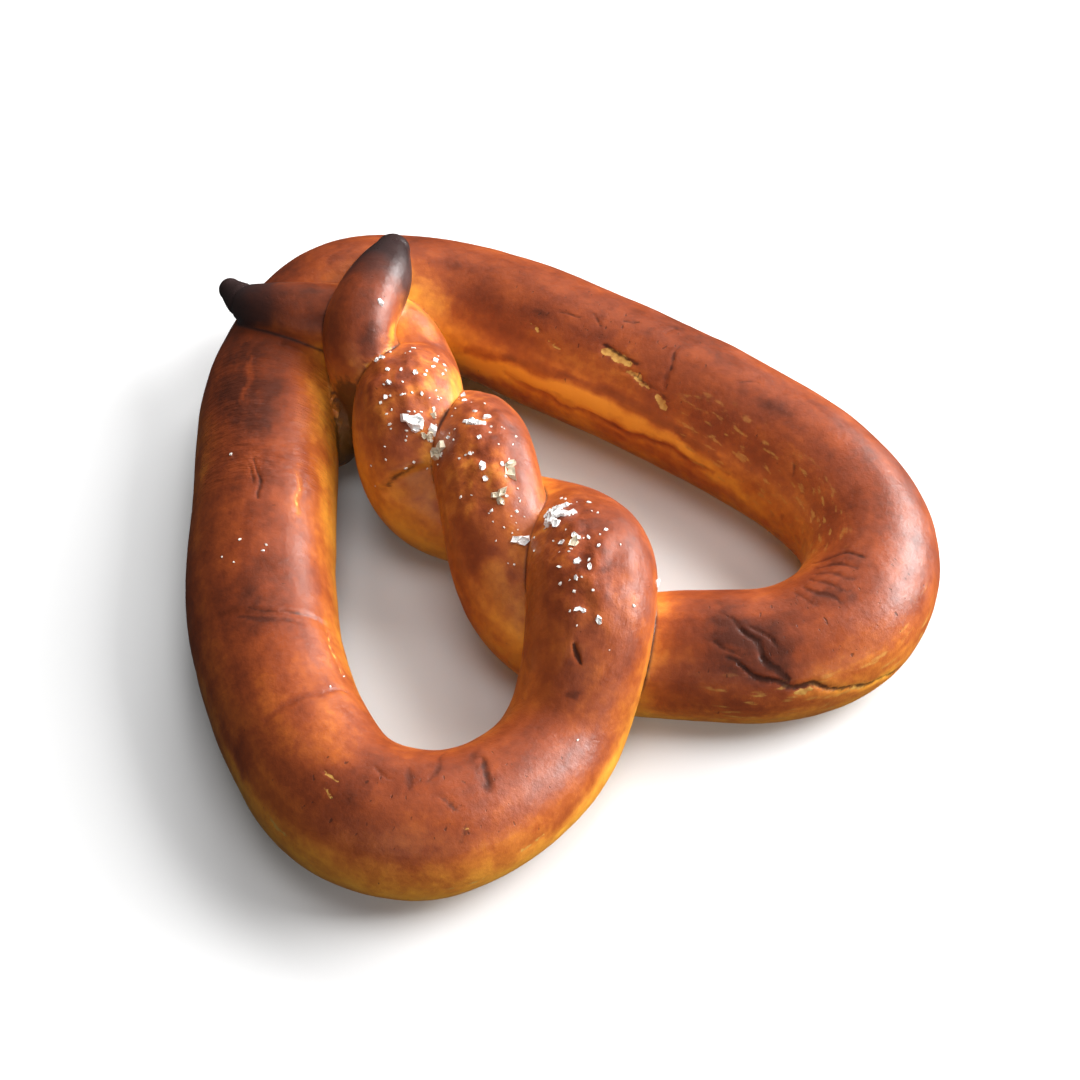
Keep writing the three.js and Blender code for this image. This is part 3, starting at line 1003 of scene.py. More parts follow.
@dataclass
class Oven:
    """What baking does to the skin, with painted shade, recorded on the mesh for the crust's finish, in
    millimetres.
    """

    dough: Dough
    rays: int = 28
    ray_lift: float = 0.4
    least_heat: float = 0.05
    heat_passes: int = 6
    burn_passes: int = 4
    # Reach of the painted shade in the creases
    crease_shade_fade: float = 1.2
    torn_edge: Span = (1.9, 0.3)
    crack_and_shade_edge: Span = (1.9, 0.2)
    tone_edge: Span = (1.7, 0.4)
    tone_share: float = 0.5
    left_burn: Span = (29.0, 3.0)
    right_burn: Span = (28.0, 1.0)
    gold_clears: float = 1.8
    salt_spares: float = 0.14

    def heat(self, mesh: bpy.types.Mesh, points: np.ndarray, normals: np.ndarray) -> np.ndarray:
        """How much of the oven's heat from above reaches the skin.

        Args:
            mesh: The dough's mesh.
            points: Its points, in metres.
            normals: The way out at each point.

        Returns:
            The share from 0, hidden, to 1, a free top.
        """
        tree = surface_tree(mesh)
        golden = math.pi * (3.0 - math.sqrt(5.0))
        heights = (np.arange(self.rays) + 0.5) / self.rays
        flat = np.sqrt(1.0 - heights ** 2)
        turns = np.arange(self.rays) * golden
        rays = np.stack([flat * np.cos(turns), flat * np.sin(turns), heights], axis=1)
        facing = np.clip(normals @ rays.T, 0.0, None)
        reached = np.zeros(len(points))
        directions = [Vector(ray) for ray in rays]
        for k, start in enumerate(points + normals * (self.ray_lift * MM)):
            place = Vector(start)
            for way, strength in zip(directions, facing[k]):
                if strength > self.least_heat and tree.ray_cast(place, way)[0] is None:
                    reached[k] += strength
        return reached / heights.sum()

    @staticmethod
    def blurred(mesh: bpy.types.Mesh, values: np.ndarray, passes: int) -> np.ndarray:
        """Evens out values over the mesh's edges.

        Args:
            mesh: The mesh.
            values: One value for every point.
            passes: How often each point takes the mean of itself and its neighbours' mean.

        Returns:
            The evened values.
        """
        ends = np.zeros(len(mesh.edges) * 2, np.int32)
        mesh.edges.foreach_get("vertices", ends)
        a, b = ends.reshape(-1, 2).T
        count = len(mesh.vertices)
        near = np.bincount(a, minlength=count) + np.bincount(b, minlength=count)
        for _ in range(passes):
            total = np.bincount(a, values[b], count) + np.bincount(b, values[a], count)
            values = 0.5 * values + 0.5 * total / np.maximum(near, 1)
        return values

    def bake(self, piece: bpy.types.Object) -> None:
        """Records how brown, burnt and torn the skin is, the painted shade in its creases, and its textures.

        Args:
            piece: The dough.
        """
        mesh = piece.data
        count = len(mesh.vertices)
        points = np.zeros(count * 3)
        normals = np.zeros(count * 3)
        mesh.vertices.foreach_get("co", points)
        mesh.vertex_normals.foreach_get("vector", normals)
        points = points.reshape(-1, 3)
        places, gap = self.dough.on_rope(points / MM)
        browned = self.blurred(mesh, self.heat(mesh, points, normals.reshape(-1, 3)), self.heat_passes)
        dark, pale, baking = self.marked(self.dough.relief.wandered(places, points / MM))
        # Painted shade in the creases: strongest where another strand lies close, cleared under the gold
        # marks
        crease_shade = np.exp(-np.clip(gap, 0.0, None) / self.crease_shade_fade)
        crease_shade *= 1.0 - np.clip(-self.gold_clears * baking, 0.0, 1.0)
        end = self.dough.rope.length
        right_first, right_last = (end - before for before in self.right_burn)
        burnt = np.maximum(
            smooth_step(*self.left_burn, places.along),
            smooth_step(right_first, right_last, places.along),
        )
        salted = self.dough.salted(places)
        # The marks' browner and paler tones join the browning here, some of them painted light and shade
        toned = browned + self.tone_share * np.clip(baking, -1.0, 1.0) - self.salt_spares * salted
        found = {
            "browned": toned, "crease_shade": crease_shade, "dark": dark, "pale": pale,
            "burnt": self.blurred(mesh, burnt, self.burn_passes), "salted": salted,
            "along": places.along, "girth": np.radians(places.around) * places.radius,
        }
        for texture in Texture:
            amounts = [stretch.amount(places) for stretch in STRETCHES if stretch.texture is texture]
            found[texture.value] = np.max(amounts, axis=0)
        for name, values in found.items():
            layer = mesh.attributes.new(name, "FLOAT", "POINT")
            layer.data.foreach_set("value", values.astype(np.float32))

    def marked(self, places: Places) -> tuple[np.ndarray, np.ndarray, np.ndarray]:
        """How the marks colour the skin.

        Args:
            places: Places on the rope.

        Returns:
            How dark with cracks and painted shade, how pale with torn skin, and how much browner or paler
            each place is, partly painted light and shade.
        """
        dark, pale, baking = np.zeros((3, len(places.along)))
        for mark in MARKS:
            away, _ = mark.offsets(places)
            if mark.kind is TEAR:
                pale = np.maximum(pale, mark.tone * smooth_step(*self.torn_edge, away))
            elif mark.kind is CRACK_AND_SHADE:
                dark = np.maximum(dark, mark.tone * smooth_step(*self.crack_and_shade_edge, away))
            elif mark.kind is not STEP:
                way = -1.0 if mark.kind is GOLD else 1.0
                baking += way * mark.tone * smooth_step(*self.tone_edge, away)
        return dark, pale, baking


class Sheet:
    """A material's nodes, with short ways to add and join them."""

    def __init__(self, name: str) -> None:
        """Starts a material with one surface shader."""
        self.material = bpy.data.materials.new(name)
        self.material.use_nodes = True
        self.nodes = self.material.node_tree.nodes
        self.links = self.material.node_tree.links
        self.nodes.clear()
        self.shader = self.node("ShaderNodeBsdfPrincipled")
        output = self.node("ShaderNodeOutputMaterial")
        self.links.new(self.shader.outputs["BSDF"], output.inputs["Surface"])
        self.place = self.node("ShaderNodeTexCoord").outputs["Object"]

    def node(self, kind: str, **settings: object) -> bpy.types.Node:
        """Adds a node and sets its properties."""
        made = self.nodes.new(kind)
        for name, value in settings.items():
            setattr(made, name, value)
        return made

    def put(self, socket: bpy.types.NodeSocket, value: object) -> None:
        """Joins or sets an input.

        Args:
            socket: The input.
            value: Another node's output, a number or a colour.
        """
        if isinstance(value, bpy.types.NodeSocket):
            self.links.new(value, socket)
        elif isinstance(value, tuple) and len(value) == 3 and socket.type == "RGBA":
            socket.default_value = (*value, 1.0)
        else:
            socket.default_value = value

    def surface(self, **values: object) -> None:
        """Sets inputs of the surface shader, named with underscores for spaces."""
        for name, value in values.items():
            self.put(self.shader.inputs[name.replace("_", " ")], value)

    def attribute(self, name: str) -> bpy.types.NodeSocket:
        """A value recorded on the mesh."""
        return self.node("ShaderNodeAttribute", attribute_name=name).outputs["Fac"]

    def math(self, operation: str, a: object, b: object) -> bpy.types.NodeSocket:
        """One value worked out from two."""
        made = self.node("ShaderNodeMath", operation=operation)
        self.put(made.inputs[0], a)
        self.put(made.inputs[1], b)
        return made.outputs[0]

    def ranged(self, value: object, span: Span, to: Span) -> bpy.types.NodeSocket:
        """A value carried softly from one span to another, clamped."""
        made = self.node("ShaderNodeMapRange", interpolation_type="SMOOTHSTEP")
        for socket, given in zip(made.inputs, (value, *span, *to)):
            self.put(socket, given)
        return made.outputs[0]

    def swing(self, value: object, span: Span, depth: float) -> bpy.types.NodeSocket:
        """A value carried softly from a span to a depth on both sides of 0."""
        return self.ranged(value, span, (-depth, depth))

    def mottle(self, scale: float, detail: float = 3.0, roughness: float = 0.55) -> bpy.types.NodeSocket:
        """Cloudy unevenness over space, from 0 to 1; scale is clouds in a metre."""
        made = self.node("ShaderNodeTexNoise")
        self.put(made.inputs["Vector"], self.place)
        self.put(made.inputs["Scale"], scale)
        self.put(made.inputs["Detail"], detail)
        self.put(made.inputs["Roughness"], roughness)
        return made.outputs["Fac"]

    def drawn_out(self, along: float, girth: float, detail: float = 3.0) -> bpy.types.NodeSocket:
        """Unevenness drawn out over the rope, from 0 to 1; along and girth are lumps in a millimetre."""
        joined = self.node("ShaderNodeCombineXYZ")
        self.put(joined.inputs[0], self.math("MULTIPLY", self.attribute("along"), along))
        self.put(joined.inputs[1], self.math("MULTIPLY", self.attribute("girth"), girth))
        made = self.node("ShaderNodeTexNoise")
        self.put(made.inputs["Vector"], joined.outputs[0])
        self.put(made.inputs["Scale"], 1.0)
        self.put(made.inputs["Detail"], detail)
        return made.outputs["Fac"]

    def blend(self, part: object, a: object, b: object) -> bpy.types.NodeSocket:
        """Two colours blended."""
        made = self.node("ShaderNodeMix", data_type="RGBA")
        self.put(made.inputs[0], part)
        self.put(made.inputs[6], a)
        self.put(made.inputs[7], b)
        return made.outputs[2]

    def over(
        self, under: object, colour: object, where: object, span: Span, most: float = 1.0,
    ) -> bpy.types.NodeSocket:
        """Lays a colour over another as a value rises through a span, up to the greatest share."""
        return self.blend(self.ranged(where, span, (0.0, most)), under, colour)

    def ramp(self, part: object, stops: list[tuple[float, Colour]]) -> bpy.types.NodeSocket:
        """Colours along a scale from 0 to 1."""
        made = self.node("ShaderNodeValToRGB")
        self.put(made.inputs[0], part)
        points = made.color_ramp.elements
        while len(points) < len(stops):
            points.new(0.5)
        for point, (position, colour) in zip(points, stops):
            point.position = position
            point.color = (*colour, 1.0)
        return made.outputs[0]

    def bump(self, height: object, distance: float, strength: float) -> bpy.types.NodeSocket:
        """Relief too fine for the mesh; distance is in metres."""
        made = self.node("ShaderNodeBump")
        self.put(made.inputs["Height"], height)
        self.put(made.inputs["Distance"], distance)
        self.put(made.inputs["Strength"], strength)
        return made.outputs["Normal"]


@dataclass(frozen=True)
class CrustFinish:
    """Baked crust: golden in the folds, mahogany on top, burnt at the tips, with a satin sheen and painted
    shade in the creases.

    Clouds are given in a metre, lumps drawn out over the rope in a millimetre, along it and around it.
    """

    bright: Colour = (0.86, 0.39, 0.046)
    golden: Colour = (0.71, 0.275, 0.033)
    amber: Colour = (0.53, 0.160, 0.024)
    russet: Colour = (0.365, 0.084, 0.016)
    chestnut: Colour = (0.250, 0.050, 0.013)
    mahogany: Colour = (0.175, 0.034, 0.011)
    toasted: Colour = (0.075, 0.018, 0.009)
    browning: tuple[float, ...] = (0.05, 0.20, 0.36, 0.50, 0.65, 0.80, 1.0)
    browning_share: float = 0.8
    clouds: tuple[tuple[float, ...], ...] = ((34.0, 5.0, 0.6), (130.0,), (480.0,))
    cloud_depths: tuple[float, ...] = (0.13, 0.07, 0.06)
    streaks: tuple[float, float] = (0.03, 0.22)
    streak_depth: float = 0.07
    cloud_span: Span = (0.22, 0.78)
    blotch_clouds: float = 270.0
    blotch_depth: float = 0.13
    crumb: Colour = (0.60, 0.33, 0.075)
    old_crumb: Colour = (0.42, 0.19, 0.040)
    # The slit colour also paints the deepest crease shade and the hollow by the twist; the scorched colour
    # also paints crease shade
    slit_and_shade: Colour = (0.035, 0.012, 0.008)
    scorched_and_shade: Colour = (0.062, 0.020, 0.014)
    char: Colour = (0.030, 0.017, 0.016)
    ragged_clouds: float = 650.0
    torn_raggedness: float = 0.3
    torn_span: Span = (0.42, 0.62)
    flecks: tuple[float, float] = (0.20, 0.60)
    fleck_span: Span = (0.56, 0.66)
    slit_and_shade_raggedness: float = 0.25
    slit_and_shade_span: Span = (0.15, 0.85)
    nicks: tuple[float, float, float] = (1.0, 0.45, 2.0)
    nick_span: Span = (0.66, 0.72)
    fewest_nicks: float = 0.3
    nick_thinning: float = 0.08
    # Spans and shares of the painted shade in the creases
    crease_shade_span: Span = (0.50, 0.90)
    deep_crease_shade_span: Span = (0.80, 0.98)
    burn_clouds: float = 160.0
    burn_raggedness: float = 0.12
    burn_scorch: Span = (0.10, 0.60)
    burn_char: Span = (0.45, 0.95)
    burn_polish: Span = (0.65, 0.95)
    most_torn: float = 0.9
    most_flecked: float = 0.55
    most_slit_and_shade: float = 0.85
    most_nicked: float = 0.65
    most_crease_shade: float = 0.7
    most_deep_crease_shade: float = 0.8
    polish: float = 0.12
    roughness: float = 0.42
    sheen: Span = (-0.06, 0.08)
    sheen_clouds: float = 220.0
    salt_dulls: float = 0.30
    refraction: float = 1.6
    shine: float = 0.9
    grain: float = 0.28
    grain_clouds: tuple[float, ...] = (700.0, 5.0, 0.6)
    nick_depth: float = 0.08
    wrinkles_across: tuple[float, float, float] = (0.75, 0.20, 4.0)
    wrinkles_along: tuple[float, float, float] = (0.40, 0.85, 4.0)
    blister_clouds: float = 420.0
    relief_depths: tuple[float, float, float] = (1.5, 0.2, 0.6)
    relief_height: float = 0.0006
    relief_strength: float = 0.8

    def material(self) -> bpy.types.Material:
        """Builds the crust's material.

        Returns:
            The material.
        """
        sheet = Sheet("baked_crust")
        ragged = sheet.mottle(self.ragged_clouds)
        crumb = sheet.over(self.old_crumb, self.crumb, ragged, NARROW_CLOUDS)
        uneven = sheet.swing(ragged, WIDE_CLOUDS, self.torn_raggedness)
        torn = sheet.math("ADD", sheet.attribute("pale"), uneven)
        colour = sheet.over(self.baked(sheet), crumb, torn, self.torn_span, self.most_torn)
        flecks = sheet.ranged(sheet.drawn_out(*self.flecks), self.fleck_span, (0.0, self.most_flecked))
        flecks = sheet.math("MULTIPLY", flecks, sheet.attribute(Texture.FLECKED.value))
        colour = sheet.blend(flecks, colour, crumb)
        # Dark marks: slits, and painted shade in the hollow by the twist
        uneven = sheet.swing(ragged, WIDE_CLOUDS, self.slit_and_shade_raggedness)
        open_slit_and_shade = sheet.math("SUBTRACT", sheet.attribute("dark"), uneven)
        colour = sheet.over(colour, self.slit_and_shade, open_slit_and_shade, self.slit_and_shade_span, self.most_slit_and_shade)
        nicked = self.nicked(sheet)
        colour = sheet.blend(sheet.math("MULTIPLY", nicked, self.most_nicked), colour, self.slit_and_shade)
        # Painted shade along the creases between strands: scorched brown, near black deepest in
        crease_shade = sheet.attribute("crease_shade")
        colour = sheet.over(colour, self.scorched_and_shade, crease_shade, self.crease_shade_span, self.most_crease_shade)
        colour = sheet.over(colour, self.slit_and_shade, crease_shade, self.deep_crease_shade_span, self.most_deep_crease_shade)
        uneven = sheet.swing(sheet.mottle(self.burn_clouds), WIDE_CLOUDS, self.burn_raggedness)
        burn = sheet.math("ADD", sheet.attribute("burnt"), uneven)
        colour = sheet.over(colour, self.scorched_and_shade, burn, self.burn_scorch)
        colour = sheet.over(colour, self.char, burn, self.burn_char)
        sheet.surface(
            Base_Color=colour, Roughness=self.rough(sheet, burn), IOR=self.refraction,
            Specular_IOR_Level=self.shine, Normal=self.relief(sheet, nicked),
        )
        return sheet.material

    def rough(self, sheet: Sheet, burn: bpy.types.NodeSocket) -> bpy.types.NodeSocket:
        """How rough the skin is: uneven, smoother where it is burnt and duller under the salt.

        Args:
            sheet: The material's nodes.
            burn: How burnt the skin is.

        Returns:
            The roughness.
        """
        smoothest, roughest = (self.roughness + change for change in self.sheen)
        rough = sheet.ranged(sheet.mottle(self.sheen_clouds), CLOUDS, (smoothest, roughest))
        rough = sheet.math("SUBTRACT", rough, sheet.ranged(burn, self.burn_polish, (0.0, self.polish)))
        dulled = sheet.math("MULTIPLY", sheet.attribute("salted"), self.salt_dulls)
        return sheet.math("ADD", rough, dulled)

    def nicked(self, sheet: Sheet) -> bpy.types.NodeSocket:
        """Short dark nicks, a few on all of the skin and many on the pitted stretches.

        Args:
            sheet: The material's nodes.

        Returns:
            How nicked the skin is, from 0 to 1.
        """
        many = sheet.math("MAXIMUM", sheet.attribute(Texture.PITTED.value), self.fewest_nicks)
        fewer = sheet.ranged(many, (0.0, 1.0), (-self.nick_thinning, 0.0))
        nicks = sheet.math("ADD", sheet.drawn_out(*self.nicks), fewer)
        return sheet.ranged(nicks, self.nick_span, (0.0, 1.0))

    def baked(self, sheet: Sheet) -> bpy.types.NodeSocket:
        """Colour of the skin by how brown it was baked, mottled and streaked along the rope.

        Args:
            sheet: The material's nodes.

        Returns:
            The colour.
        """
        tone = sheet.math("MULTIPLY", sheet.attribute("browned"), self.browning_share)
        patterns = [(sheet.mottle(*cloud), depth) for cloud, depth in zip(self.clouds, self.cloud_depths)]
        patterns.append((sheet.drawn_out(*self.streaks), self.streak_depth))
        for pattern, depth in patterns:
            tone = sheet.math("ADD", tone, sheet.swing(pattern, self.cloud_span, depth))
        blotches = sheet.swing(sheet.mottle(self.blotch_clouds), CLOUDS, self.blotch_depth)
        tone = sheet.math("ADD", tone, sheet.math("MULTIPLY", blotches, sheet.attribute("salted")))
        colours = (
            self.bright, self.golden, self.amber, self.russet, self.chestnut, self.mahogany, self.toasted,
        )
        return sheet.ramp(tone, list(zip(self.browning, colours)))

    def relief(self, sheet: Sheet, nicked: bpy.types.NodeSocket) -> bpy.types.NodeSocket:
        """Leathery grain, wrinkles, nicks and small blisters.

        Args:
            sheet: The material's nodes.
            nicked: Where the skin is nicked.

        Returns:
            The skin's direction.
        """
        height = sheet.math("MULTIPLY", sheet.mottle(*self.grain_clouds), self.grain)
        height = sheet.math("SUBTRACT", height, sheet.math("MULTIPLY", nicked, self.nick_depth))
        layers = (
            (sheet.drawn_out(*self.wrinkles_across), Texture.ACROSS.value),
            (sheet.drawn_out(*self.wrinkles_along), Texture.ALONG.value),
            (sheet.mottle(self.blister_clouds), "salted"),
        )
        for (pattern, where), depth in zip(layers, self.relief_depths):
            amount = sheet.math("MULTIPLY", sheet.attribute(where), depth)
            height = sheet.math("ADD", height, sheet.math("MULTIPLY", pattern, amount))
        return sheet.bump(height, self.relief_height, self.relief_strength)


@dataclass(frozen=True)
class SaltFinish:
    """Salt: white, or the amber of half-clear flakes, with duller clouds in it."""

    name: str
    colour: Colour
    roughness: float
    clouds: float = 700.0
    dullness: float = 0.86
    unevenness: float = 0.3
    refraction: float = 1.54
    pit_clouds: float = 1500.0
    pit_height: float = 0.0001
    pit_strength: float = 0.4

    def material(self) -> bpy.types.Material:
        """Builds the salt's material.

        Returns:
            The material.
        """
        sheet = Sheet(self.name)
        cloud = sheet.mottle(self.clouds)
        dull = tuple(self.dullness * part for part in self.colour)
        rough = (self.roughness * (1.0 - self.unevenness), self.roughness * (1.0 + self.unevenness))
        sheet.surface(
            Base_Color=sheet.over(dull, self.colour, cloud, NARROW_CLOUDS),
            Roughness=sheet.ranged(cloud, CLOUDS, rough),
            IOR=self.refraction,
            Normal=sheet.bump(sheet.mottle(self.pit_clouds, 2.0), self.pit_height, self.pit_strength),
        )
        return sheet.material


class SaltKind(Enum):
    """The kinds of salt on the twist."""

    WHITE = "salt_flakes"
    CLEAR = "salt_clear_flakes"
    GRAIN = "salt_grains"


class Quality(IntEnum):
    """Qualities of a crystal that are drawn by its number; corners and heights count on from theirs."""

    TURN = 1
    LEAN = 2
    SIDE_LEAN = 3
    SIZE = 4
    CLEAR = 5
    SIDES = 6
    BREADTH = 7
    FACING = 8
    CORNER = 10
    AWAY = 21
    BEARING = 22
    HEIGHT = 30


@dataclass
class Salt:
    """Flakes and grains of salt lying on the dough. A chip's sizes are shares of its length."""

    dough: Dough
    tree: BVHTree
    breadth: float = 0.85
    narrowing: float = 0.35
    thickness: float = 0.42
    foot: float = 0.54
    crown: float = 0.44
    rim: float = 0.12
    hollow: float = 0.10
    slope: float = 0.18
    ragged: float = 0.5
    lean: float = 0.42
    fewest_sides: int = 4
    more_sides: int = 3
    chips: int = 2
    first_chip: float = 0.92
    chip_shrink: float = 0.34
    first_away: float = 0.06
    chip_away: float = 0.36
    chip_rise: float = 0.05
    chip_seed: float = 0.37
    facings: float = 6.28
    single: float = 2.4
    hollowed: float = 1.5
    fade: float = 0.55
    uneven: float = 0.3
    turn: float = 2.4
    drop: float = 6.0
    fall: float = 12.0
    grains_from: int = 500

    def landed(self, along: float, around: float) -> tuple[Vector, Vector]:
        """Where salt dropped on a place of the rope comes to lie.

        Args:
            along: Millimetres along the rope.
            around: Degrees around it.

        Returns:
            The place on the dough, in metres, and the way out there.
        """
        rope = self.dough.rope
        index = np.array([min(max(round(along / rope.spacing), 0), len(rope.at) - 1)])
        out, radius = rope.skin(index, np.radians([around]))
        beyond = rope.along[index[0]] * (along - index[0] * rope.spacing)
        start = Vector((rope.at[index[0]] + beyond + out[0] * (radius[0] + self.drop)) * MM)
        hit, normal, _, _ = self.tree.ray_cast(start, Vector(-out[0]), self.fall * MM)
        if hit is None:
            hit, normal, _, _ = self.tree.find_nearest(start)
        return hit, normal

    def crystal(self, mesh: bmesh.types.BMesh, size: float, number: int, place: Vector, out: Vector) -> None:
        """Adds one crystal, half sunk in the skin: a chip, or several grown together in a large flake.

        Args:
            mesh: The mesh that takes it.
            size: Its length in millimetres.
            number: Running number, for its shape and lean.
            place: Where it lies.
            out: The way out of the skin there.
        """
        upright = Vector((0, 0, 1)).rotation_difference(out).to_matrix().to_4x4()
        ground = Matrix.Translation(place) @ upright @ Matrix.Scale(size * MM, 4)
        if size < self.single:
            self.chip(mesh, ground, number, size)
            return
        for k in range(self.chips):
            away = self.first_away + self.chip_away * k
            turn = k * self.turn + self.facings * share(number, Quality.FACING)
            offset = Vector((away * math.cos(turn), away * math.sin(turn), self.chip_rise * k))
            smaller = Matrix.Scale(self.first_chip - self.chip_shrink * k, 4)
            self.chip(mesh, ground @ Matrix.Translation(offset) @ smaller, number + self.chip_seed * k, size)

    def chip(self, mesh: bmesh.types.BMesh, ground: Matrix, seed: float, size: float) -> None:
        """Adds one angular chip, with a hollow in its top if it is large enough to show.

        Args:
            mesh: The mesh that takes it.
            ground: Where it lies, scaled so that it is about 1 long.
            seed: Number that its shape comes from.
            size: Its flake's length in millimetres.
        """
        sides = self.fewest_sides + int(self.more_sides * share(seed, Quality.SIDES))
        lean = Matrix.Rotation((share(seed, Quality.SIDE_LEAN) - 0.5) * 2 * self.lean, 4, "Y")
        lean = lean @ Matrix.Rotation((share(seed, Quality.LEAN) - 0.5) * 2 * self.lean, 4, "X")
        lean = lean @ Matrix.Rotation(share(seed, Quality.TURN) * math.pi, 4, "Z")
        made = bmesh.ops.create_cone(
            mesh, cap_ends=True, segments=sides, radius1=self.foot, radius2=self.crown, depth=self.thickness,
        )["verts"]
        faces = {face for vertex in made for face in vertex.link_faces}
        top = max(faces, key=lambda face: face.calc_center_median().z)
        breadth = self.breadth - self.narrowing * share(seed, Quality.BREADTH)
        for k, vertex in enumerate(made):
            uneven = 1.0 + self.ragged * (share(seed, Quality.CORNER + k % sides) - 0.5)
            vertex.co.x *= uneven
            vertex.co.y *= uneven * breadth
            vertex.co.z += self.slope * (share(seed, Quality.HEIGHT + k) - 0.5)
        if size > self.hollowed:
            inset = bmesh.ops.inset_region(
                mesh, faces=[top], thickness=self.rim, depth=-self.hollow, use_even_offset=True,
            )
            made = list({vertex for face in (*inset["faces"], top) for vertex in face.verts} | set(made))
        bmesh.ops.transform(mesh, matrix=ground @ lean, verts=made)

    def scattered(
        self, patches: tuple[SaltPatch, ...], first: int, loose: bool,
    ) -> list[tuple[SaltPatch, int, float, float, float]]:
        """Where each crystal of some patches lies.

        Args:
            patches: The patches.
            first: Running number before the first crystal.
            loose: Whether they lie at random, not round the largest in the middle.

        Returns:
            For each crystal its patch, running number, place along and around the rope, and size.
        """
        found = []
        for patch in patches:
            radius = self.dough.rope.radius[round(patch.along / self.dough.rope.spacing)]
            for j in range(patch.count):
                number = first + len(found) + 1
                away = patch.spread * math.sqrt(share(number, Quality.AWAY) if loose else j / patch.count)
                turn = math.tau * share(number, Quality.BEARING) if loose else j * self.turn + patch.along
                size = patch.largest
                if j > 0:
                    smaller = 1 - self.fade * j / patch.count
                    size *= smaller * (1 - self.uneven * share(number, Quality.SIZE))
                around = patch.around + math.degrees(away * math.sin(turn) / radius)
                found.append((patch, number, patch.along + away * math.cos(turn), around, size))
        return found

    def build(self) -> dict[SaltKind, bpy.types.Object]:
        """Makes one piece for each kind of salt.

        Returns:
            The pieces by kind.
        """
        meshes = {kind: bmesh.new() for kind in SaltKind}
        for patch, number, along, around, size in self.scattered(FLAKE_PATCHES, 0, False):
            kind = SaltKind.CLEAR if share(number, Quality.CLEAR) < patch.clear else SaltKind.WHITE
            self.crystal(meshes[kind], size, number, *self.landed(along, around))
        for _, number, along, around, size in self.scattered(GRAIN_PATCHES, self.grains_from, True):
            self.crystal(meshes[SaltKind.GRAIN], size, number, *self.landed(along, around))
        pieces = {}
        for kind, crystals in meshes.items():
            bmesh.ops.recalc_face_normals(crystals, faces=crystals.faces)
            mesh = bpy.data.meshes.new(kind.value)
            crystals.to_mesh(mesh)
            crystals.free()
            pieces[kind] = link_object(kind.value, mesh)
        return pieces


@dataclass(frozen=True)
class Lamp:
    """A soft light: its place and size in metres, its power in watts, and whether it shows as a highlight."""

    name: str
    place: tuple[float, float, float]
    power: float
    size: tuple[float, float] = (0.7, 0.7)
    mirrored: bool = False

    def hang(self, target: Vector) -> None:
        """Hangs the light.

        Args:
            target: The place that it faces.
        """
        data = bpy.data.lights.new(self.name, "AREA")
        data.shape = "RECTANGLE"
        data.size, data.size_y = self.size
        data.energy = self.power
        lamp = bpy.data.objects.new(self.name, data)
        lamp.visible_glossy = self.mirrored
        lamp.location = self.place
        lamp.rotation_mode = "QUATERNION"
        lamp.rotation_quaternion = (target - Vector(self.place)).to_track_quat("-Z", "Y")
        bpy.context.scene.collection.objects.link(lamp)


LAMPS = (
    Lamp("window", (1.03, -0.16, 0.35), 13.0, (1.05, 0.40), True),
    Lamp("upper_window", (0.81, -0.34, 0.66), 17.5),
    Lamp("back_window", (0.60, 0.62, 0.62), 14.0),
    Lamp("ceiling", (0.0, 0.0, 1.1), 4.5),
    Lamp("near_wall", (-0.50, -0.78, 0.50), 2.6),
    Lamp("low_front", (0.36, -0.92, 0.14), 4.3, (0.6, 0.25)),
)


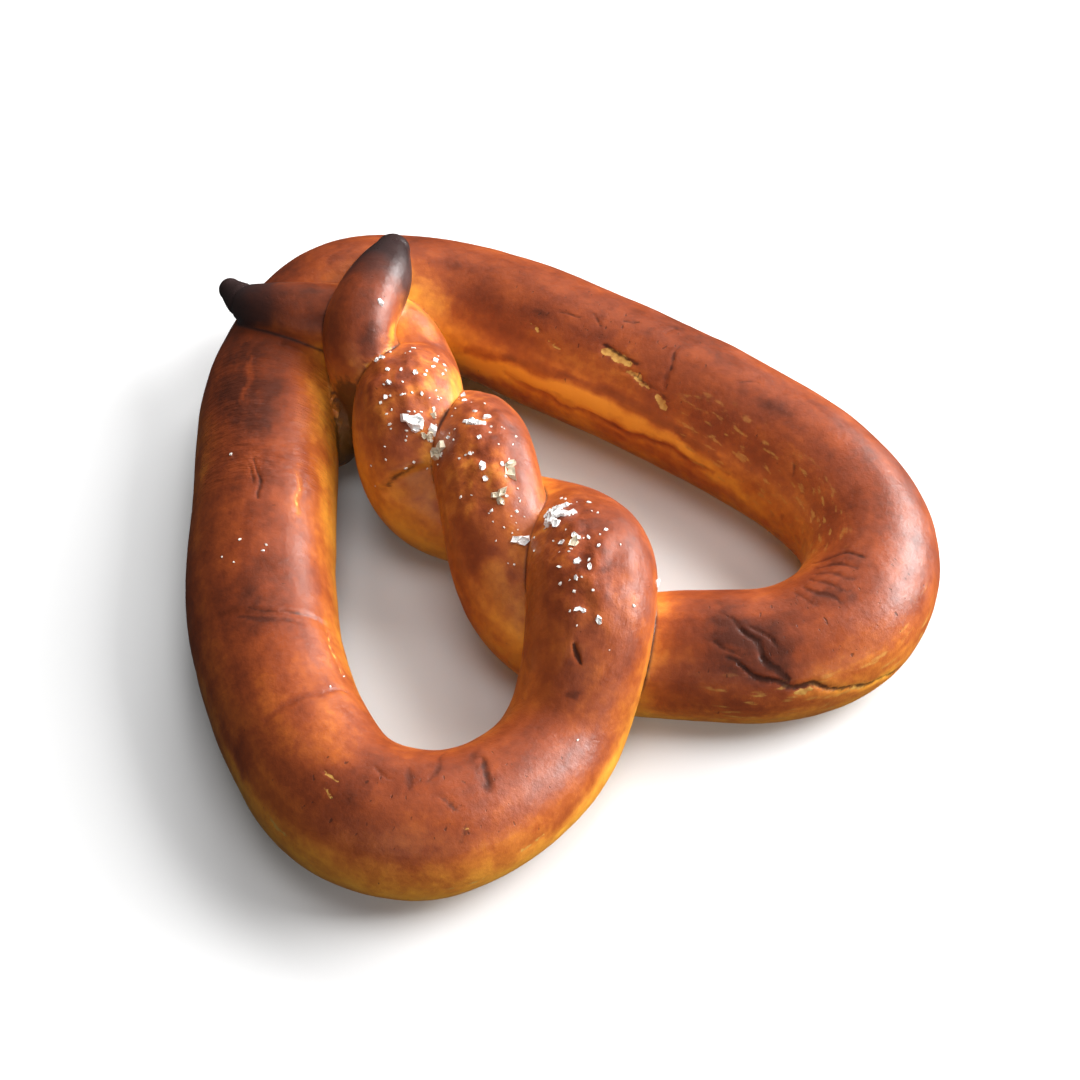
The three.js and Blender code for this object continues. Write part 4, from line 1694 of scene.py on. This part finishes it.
@dataclass(frozen=True)
class Studio:
    """Pale floor, soft light from the right and the photograph's camera, in metres and degrees."""

    target: Vector = Vector((0.0106, -0.0058, 0.0))
    azimuth: float = -31.0
    elevation: float = 50.0
    distance: float = 0.7059
    lens: float = 100.0
    film: float = 36.0
    floor_size: float = 4.0
    floor_squares: int = 4
    floor_colour: Colour = (0.72, 0.72, 0.72)
    floor_roughness: float = 0.9
    room_light: float = 0.03

    def build(self) -> None:
        """Sets up floor, lights, camera and colour handling."""
        self.lay_floor()
        self.stand_camera()
        for lamp in LAMPS:
            lamp.hang(self.target)
        world = bpy.data.worlds.new("room")
        world.use_nodes = True
        back = world.node_tree.nodes["Background"]
        back.inputs["Color"].default_value = (1.0, 1.0, 1.0, 1.0)
        back.inputs["Strength"].default_value = self.room_light
        bpy.context.scene.world = world
        bpy.context.scene.view_settings.view_transform = "Standard"

    def lay_floor(self) -> None:
        """Lays a pale matte floor, which neither tints nor mirrors in the crust."""
        sheet = bmesh.new()
        squares = self.floor_squares
        bmesh.ops.create_grid(sheet, x_segments=squares, y_segments=squares, size=self.floor_size / 2)
        mesh = bpy.data.meshes.new("floor")
        sheet.to_mesh(mesh)
        sheet.free()
        floor = link_object("floor", mesh)
        paint = Sheet("pale_floor")
        paint.surface(Base_Color=self.floor_colour, Roughness=self.floor_roughness)
        mesh.materials.append(paint.material)
        floor.visible_glossy = False
        floor.visible_diffuse = False

    def stand_camera(self) -> None:
        """Places the camera at the photograph's angle."""
        turn, rise = math.radians(self.azimuth), math.radians(self.elevation)
        back = Vector((
            math.sin(turn) * math.cos(rise),
            -math.cos(turn) * math.cos(rise),
            math.sin(rise),
        ))
        data = bpy.data.cameras.new("camera")
        data.lens = self.lens
        data.sensor_width = self.film
        camera = bpy.data.objects.new("camera", data)
        camera.location = self.target + back * self.distance
        camera.rotation_mode = "QUATERNION"
        camera.rotation_quaternion = (-back).to_track_quat("-Z", "Y")
        bpy.context.scene.collection.objects.link(camera)
        bpy.context.scene.camera = camera


def settle(piece: bpy.types.Object, finish: bpy.types.Material, stands_for_node: bool) -> None:
    """Dresses a piece and fixes it to the frame.

    Args:
        piece: The piece.
        finish: Its material.
        stands_for_node: Whether it takes the solid's place.
    """
    piece.data.materials.clear()
    piece.data.materials.append(finish)
    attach(piece, BODY)
    if stands_for_node:
        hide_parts(NODE)
    log.info("%s: %d points, %d faces", piece.name, len(piece.data.vertices), len(piece.data.polygons))


def main() -> None:
    """Builds the pretzel and its surroundings."""
    logging.basicConfig(level=logging.INFO, format="%(message)s")
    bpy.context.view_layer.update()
    Studio().build()
    plan = Dough(RopePlan(), SkinRelief())
    dough = plan.build()
    Oven(plan).bake(dough)
    settle(dough, CrustFinish().material(), True)
    finishes = {
        SaltKind.WHITE: SaltFinish("white_salt", colour=(0.95, 0.94, 0.92), roughness=0.35),
        SaltKind.CLEAR: SaltFinish("clear_salt", colour=(0.66, 0.57, 0.42), roughness=0.16),
        SaltKind.GRAIN: SaltFinish("grain_salt", colour=(0.80, 0.76, 0.70), roughness=0.35),
    }
    for kind, piece in Salt(plan, surface_tree(dough.data)).build().items():
        settle(piece, finishes[kind].material(), kind is not SaltKind.GRAIN)


if __name__ == "__main__":
    main()
